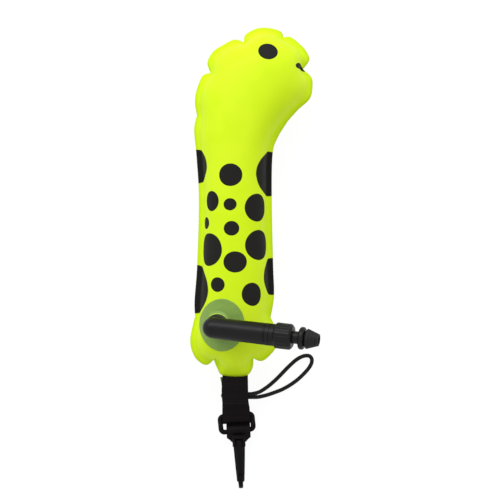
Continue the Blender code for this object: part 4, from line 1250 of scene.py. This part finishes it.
def lofted(name, rings, squareness=4, sides=40):
    """A solid through rounded rectangles, each a place, half its width in X, half its depth along a normal,
    and that normal, all in the hook's own directions."""
    bm = bmesh.new()
    loops = []
    for k, (middle, half_x, half_n, normal) in enumerate(rings):
        capped = k in (0, len(rings) - 1)
        made = bmesh.ops.create_circle(bm, cap_ends=capped, segments=sides, radius=1)["verts"]
        for vertex in made:
            x, n = vertex.co.x, vertex.co.y
            size = (abs(x) ** squareness + abs(n) ** squareness) ** (1 / squareness)
            vertex.co = middle + Vector((x / size * half_x, 0, 0)) + normal * (n / size * half_n)
        inside = set(made)
        loops.append([edge for edge in bm.edges if edge.verts[0] in inside and edge.verts[1] in inside])
    for a, b in zip(loops, loops[1:]):
        bmesh.ops.bridge_loops(bm, edges=a + b)
    bmesh.ops.recalc_face_normals(bm, faces=bm.faces)
    mesh = bpy.data.meshes.new(name)
    bm.to_mesh(mesh)
    bm.free()
    mesh.transform(hook_place)
    mesh.shade_smooth()
    piece = bpy.data.objects.new(name, mesh)
    bpy.context.scene.collection.objects.link(piece)
    return piece


def across_bar(name, half_length, radius, middle, sides=64):
    """A round bar along the hook's X direction."""
    bm = bmesh.new()
    lie = Matrix.Translation(middle) @ Matrix.Rotation(math.pi / 2, 4, "Y")
    bmesh.ops.create_cone(
        bm,
        cap_ends=True,
        segments=sides,
        radius1=radius,
        radius2=radius,
        depth=2 * half_length,
        matrix=hook_place @ lie,
    )
    mesh = bpy.data.meshes.new(name)
    bm.to_mesh(mesh)
    bm.free()
    mesh.shade_smooth()
    piece = bpy.data.objects.new(name, mesh)
    bpy.context.scene.collection.objects.link(piece)
    return piece


upward = Vector((0, 0, 1))
hook = across_bar("snap_hook", knuckle_width / 2, knuckle_radius, Vector((0, 0, 0)))
# The shoulders: shares of the knuckle's radius onward, of the width beyond the shank's, and of the depth.
shoulder_shares = (
    (0.1, 0.97, 1),
    (0.6, 0.97, 0.98),
    (0.95, 0.97, 0.95),
    (1.25, 0.48, 0.86),
    (1.55, 0.1, 0.75),
)
shoulder_rings = []
for along, wide, deep in shoulder_shares:
    middle = Vector((0, -knuckle_radius * along, 0))
    half_x = (shank_width + (knuckle_width - shank_width) * wide) / 2
    shoulder_rings.append((middle, half_x, knuckle_radius * 0.88 * deep, upward))
joined(hook, lofted("shoulder_shape", shoulder_rings, 6))
bend = []
for length_share, depth_share, taper in bend_shares:
    width = shank_width + (tip_width - shank_width) * taper
    bend.append((-length_share * hook_length, depth_share * hook_depth, width / 2))
bend = smooth_path(bend, 6)
bend_rings = []
for k, (y, z, half_x) in enumerate(bend):
    before, after = bend[max(k - 1, 0)], bend[min(k + 1, len(bend) - 1)]
    onward = Vector((0, after.x - before.x, after.y - before.y)).normalized()
    normal = onward.cross(Vector((1, 0, 0)))
    bend_rings.append((Vector((0, y, z)), half_x, hook_section / 2, normal))
joined(hook, lofted("bend_shape", bend_rings))
ear_rings = []
for y in (-0.7 * knuckle_radius, pivot.y - gate_thickness):
    ear_rings.append((Vector((0, y, pivot.z)), shank_width / 2, gate_thickness, upward))
joined(hook, lofted("ear_shape", ear_rings))
slot_low, slot_high = pivot.z - 2 * leaf_depth - leaf_thickness / 2 - gap, pivot.z + gate_thickness + 2 * MM
slot_rings = []
for y in (pivot.y + 4.3 * MM, pivot.y - 2 * gate_thickness):
    slot_middle = Vector((0, y, (slot_low + slot_high) / 2))
    slot_rings.append((slot_middle, gate_width / 2 + gap, (slot_high - slot_low) / 2, upward))
joined(hook, lofted("slot_shape", slot_rings, 30), "DIFFERENCE")
joined(hook, across_bar("pin_shape", knuckle_width, pin_radius + slide, pivot, 32), "DIFFERENCE")
bore_radius = ring_wire / 2 + 0.95 * MM
joined(hook, across_bar("bore_shape", knuckle_width, bore_radius, Vector((0, 0, 0))), "DIFFERENCE")
soften(hook, 0.35 * MM, sharpest=35)
finished(hook)
hook.data.materials.append(hook_finish.material)
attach(hook, "hook")
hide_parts("hook_body")

# Hook gate: a flat lever from its heel behind the pin to just short of the nose, with a low rib down its
# middle that stiffens it.
nose = Vector((0, bend[-1].x, bend[-1].y))
to_tip = nose - pivot + Vector((0, 0.9 * MM, 0))
gate_way = to_tip.normalized()
gate_normal = gate_way.cross(Vector((1, 0, 0)))
gate_rings = []
for middle, width in (
    (-2.6 * MM * gate_way, gate_width),
    (0.5 * to_tip, gate_width),
    (to_tip, (gate_width + tip_width) / 2),
):
    gate_rings.append((pivot + middle, width / 2, gate_thickness / 2, gate_normal))
gate = lofted("hook_gate_lever", gate_rings, 5)
rib_rings = []
for share in (0.3, 0.95):
    middle = pivot + to_tip * share + gate_normal * gate_thickness / 2
    rib_rings.append((middle, 0.45 * MM, 0.3 * MM, gate_normal))
joined(gate, lofted("rib_shape", rib_rings, 2))
joined(gate, across_bar("gate_hole_shape", gate_width, pin_radius + slide, pivot, 32), "DIFFERENCE")
soften(gate, 0.3 * MM)
finished(gate)
gate.data.materials.append(hook_finish.material)
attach(gate, "gate")
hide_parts("hook_gate")
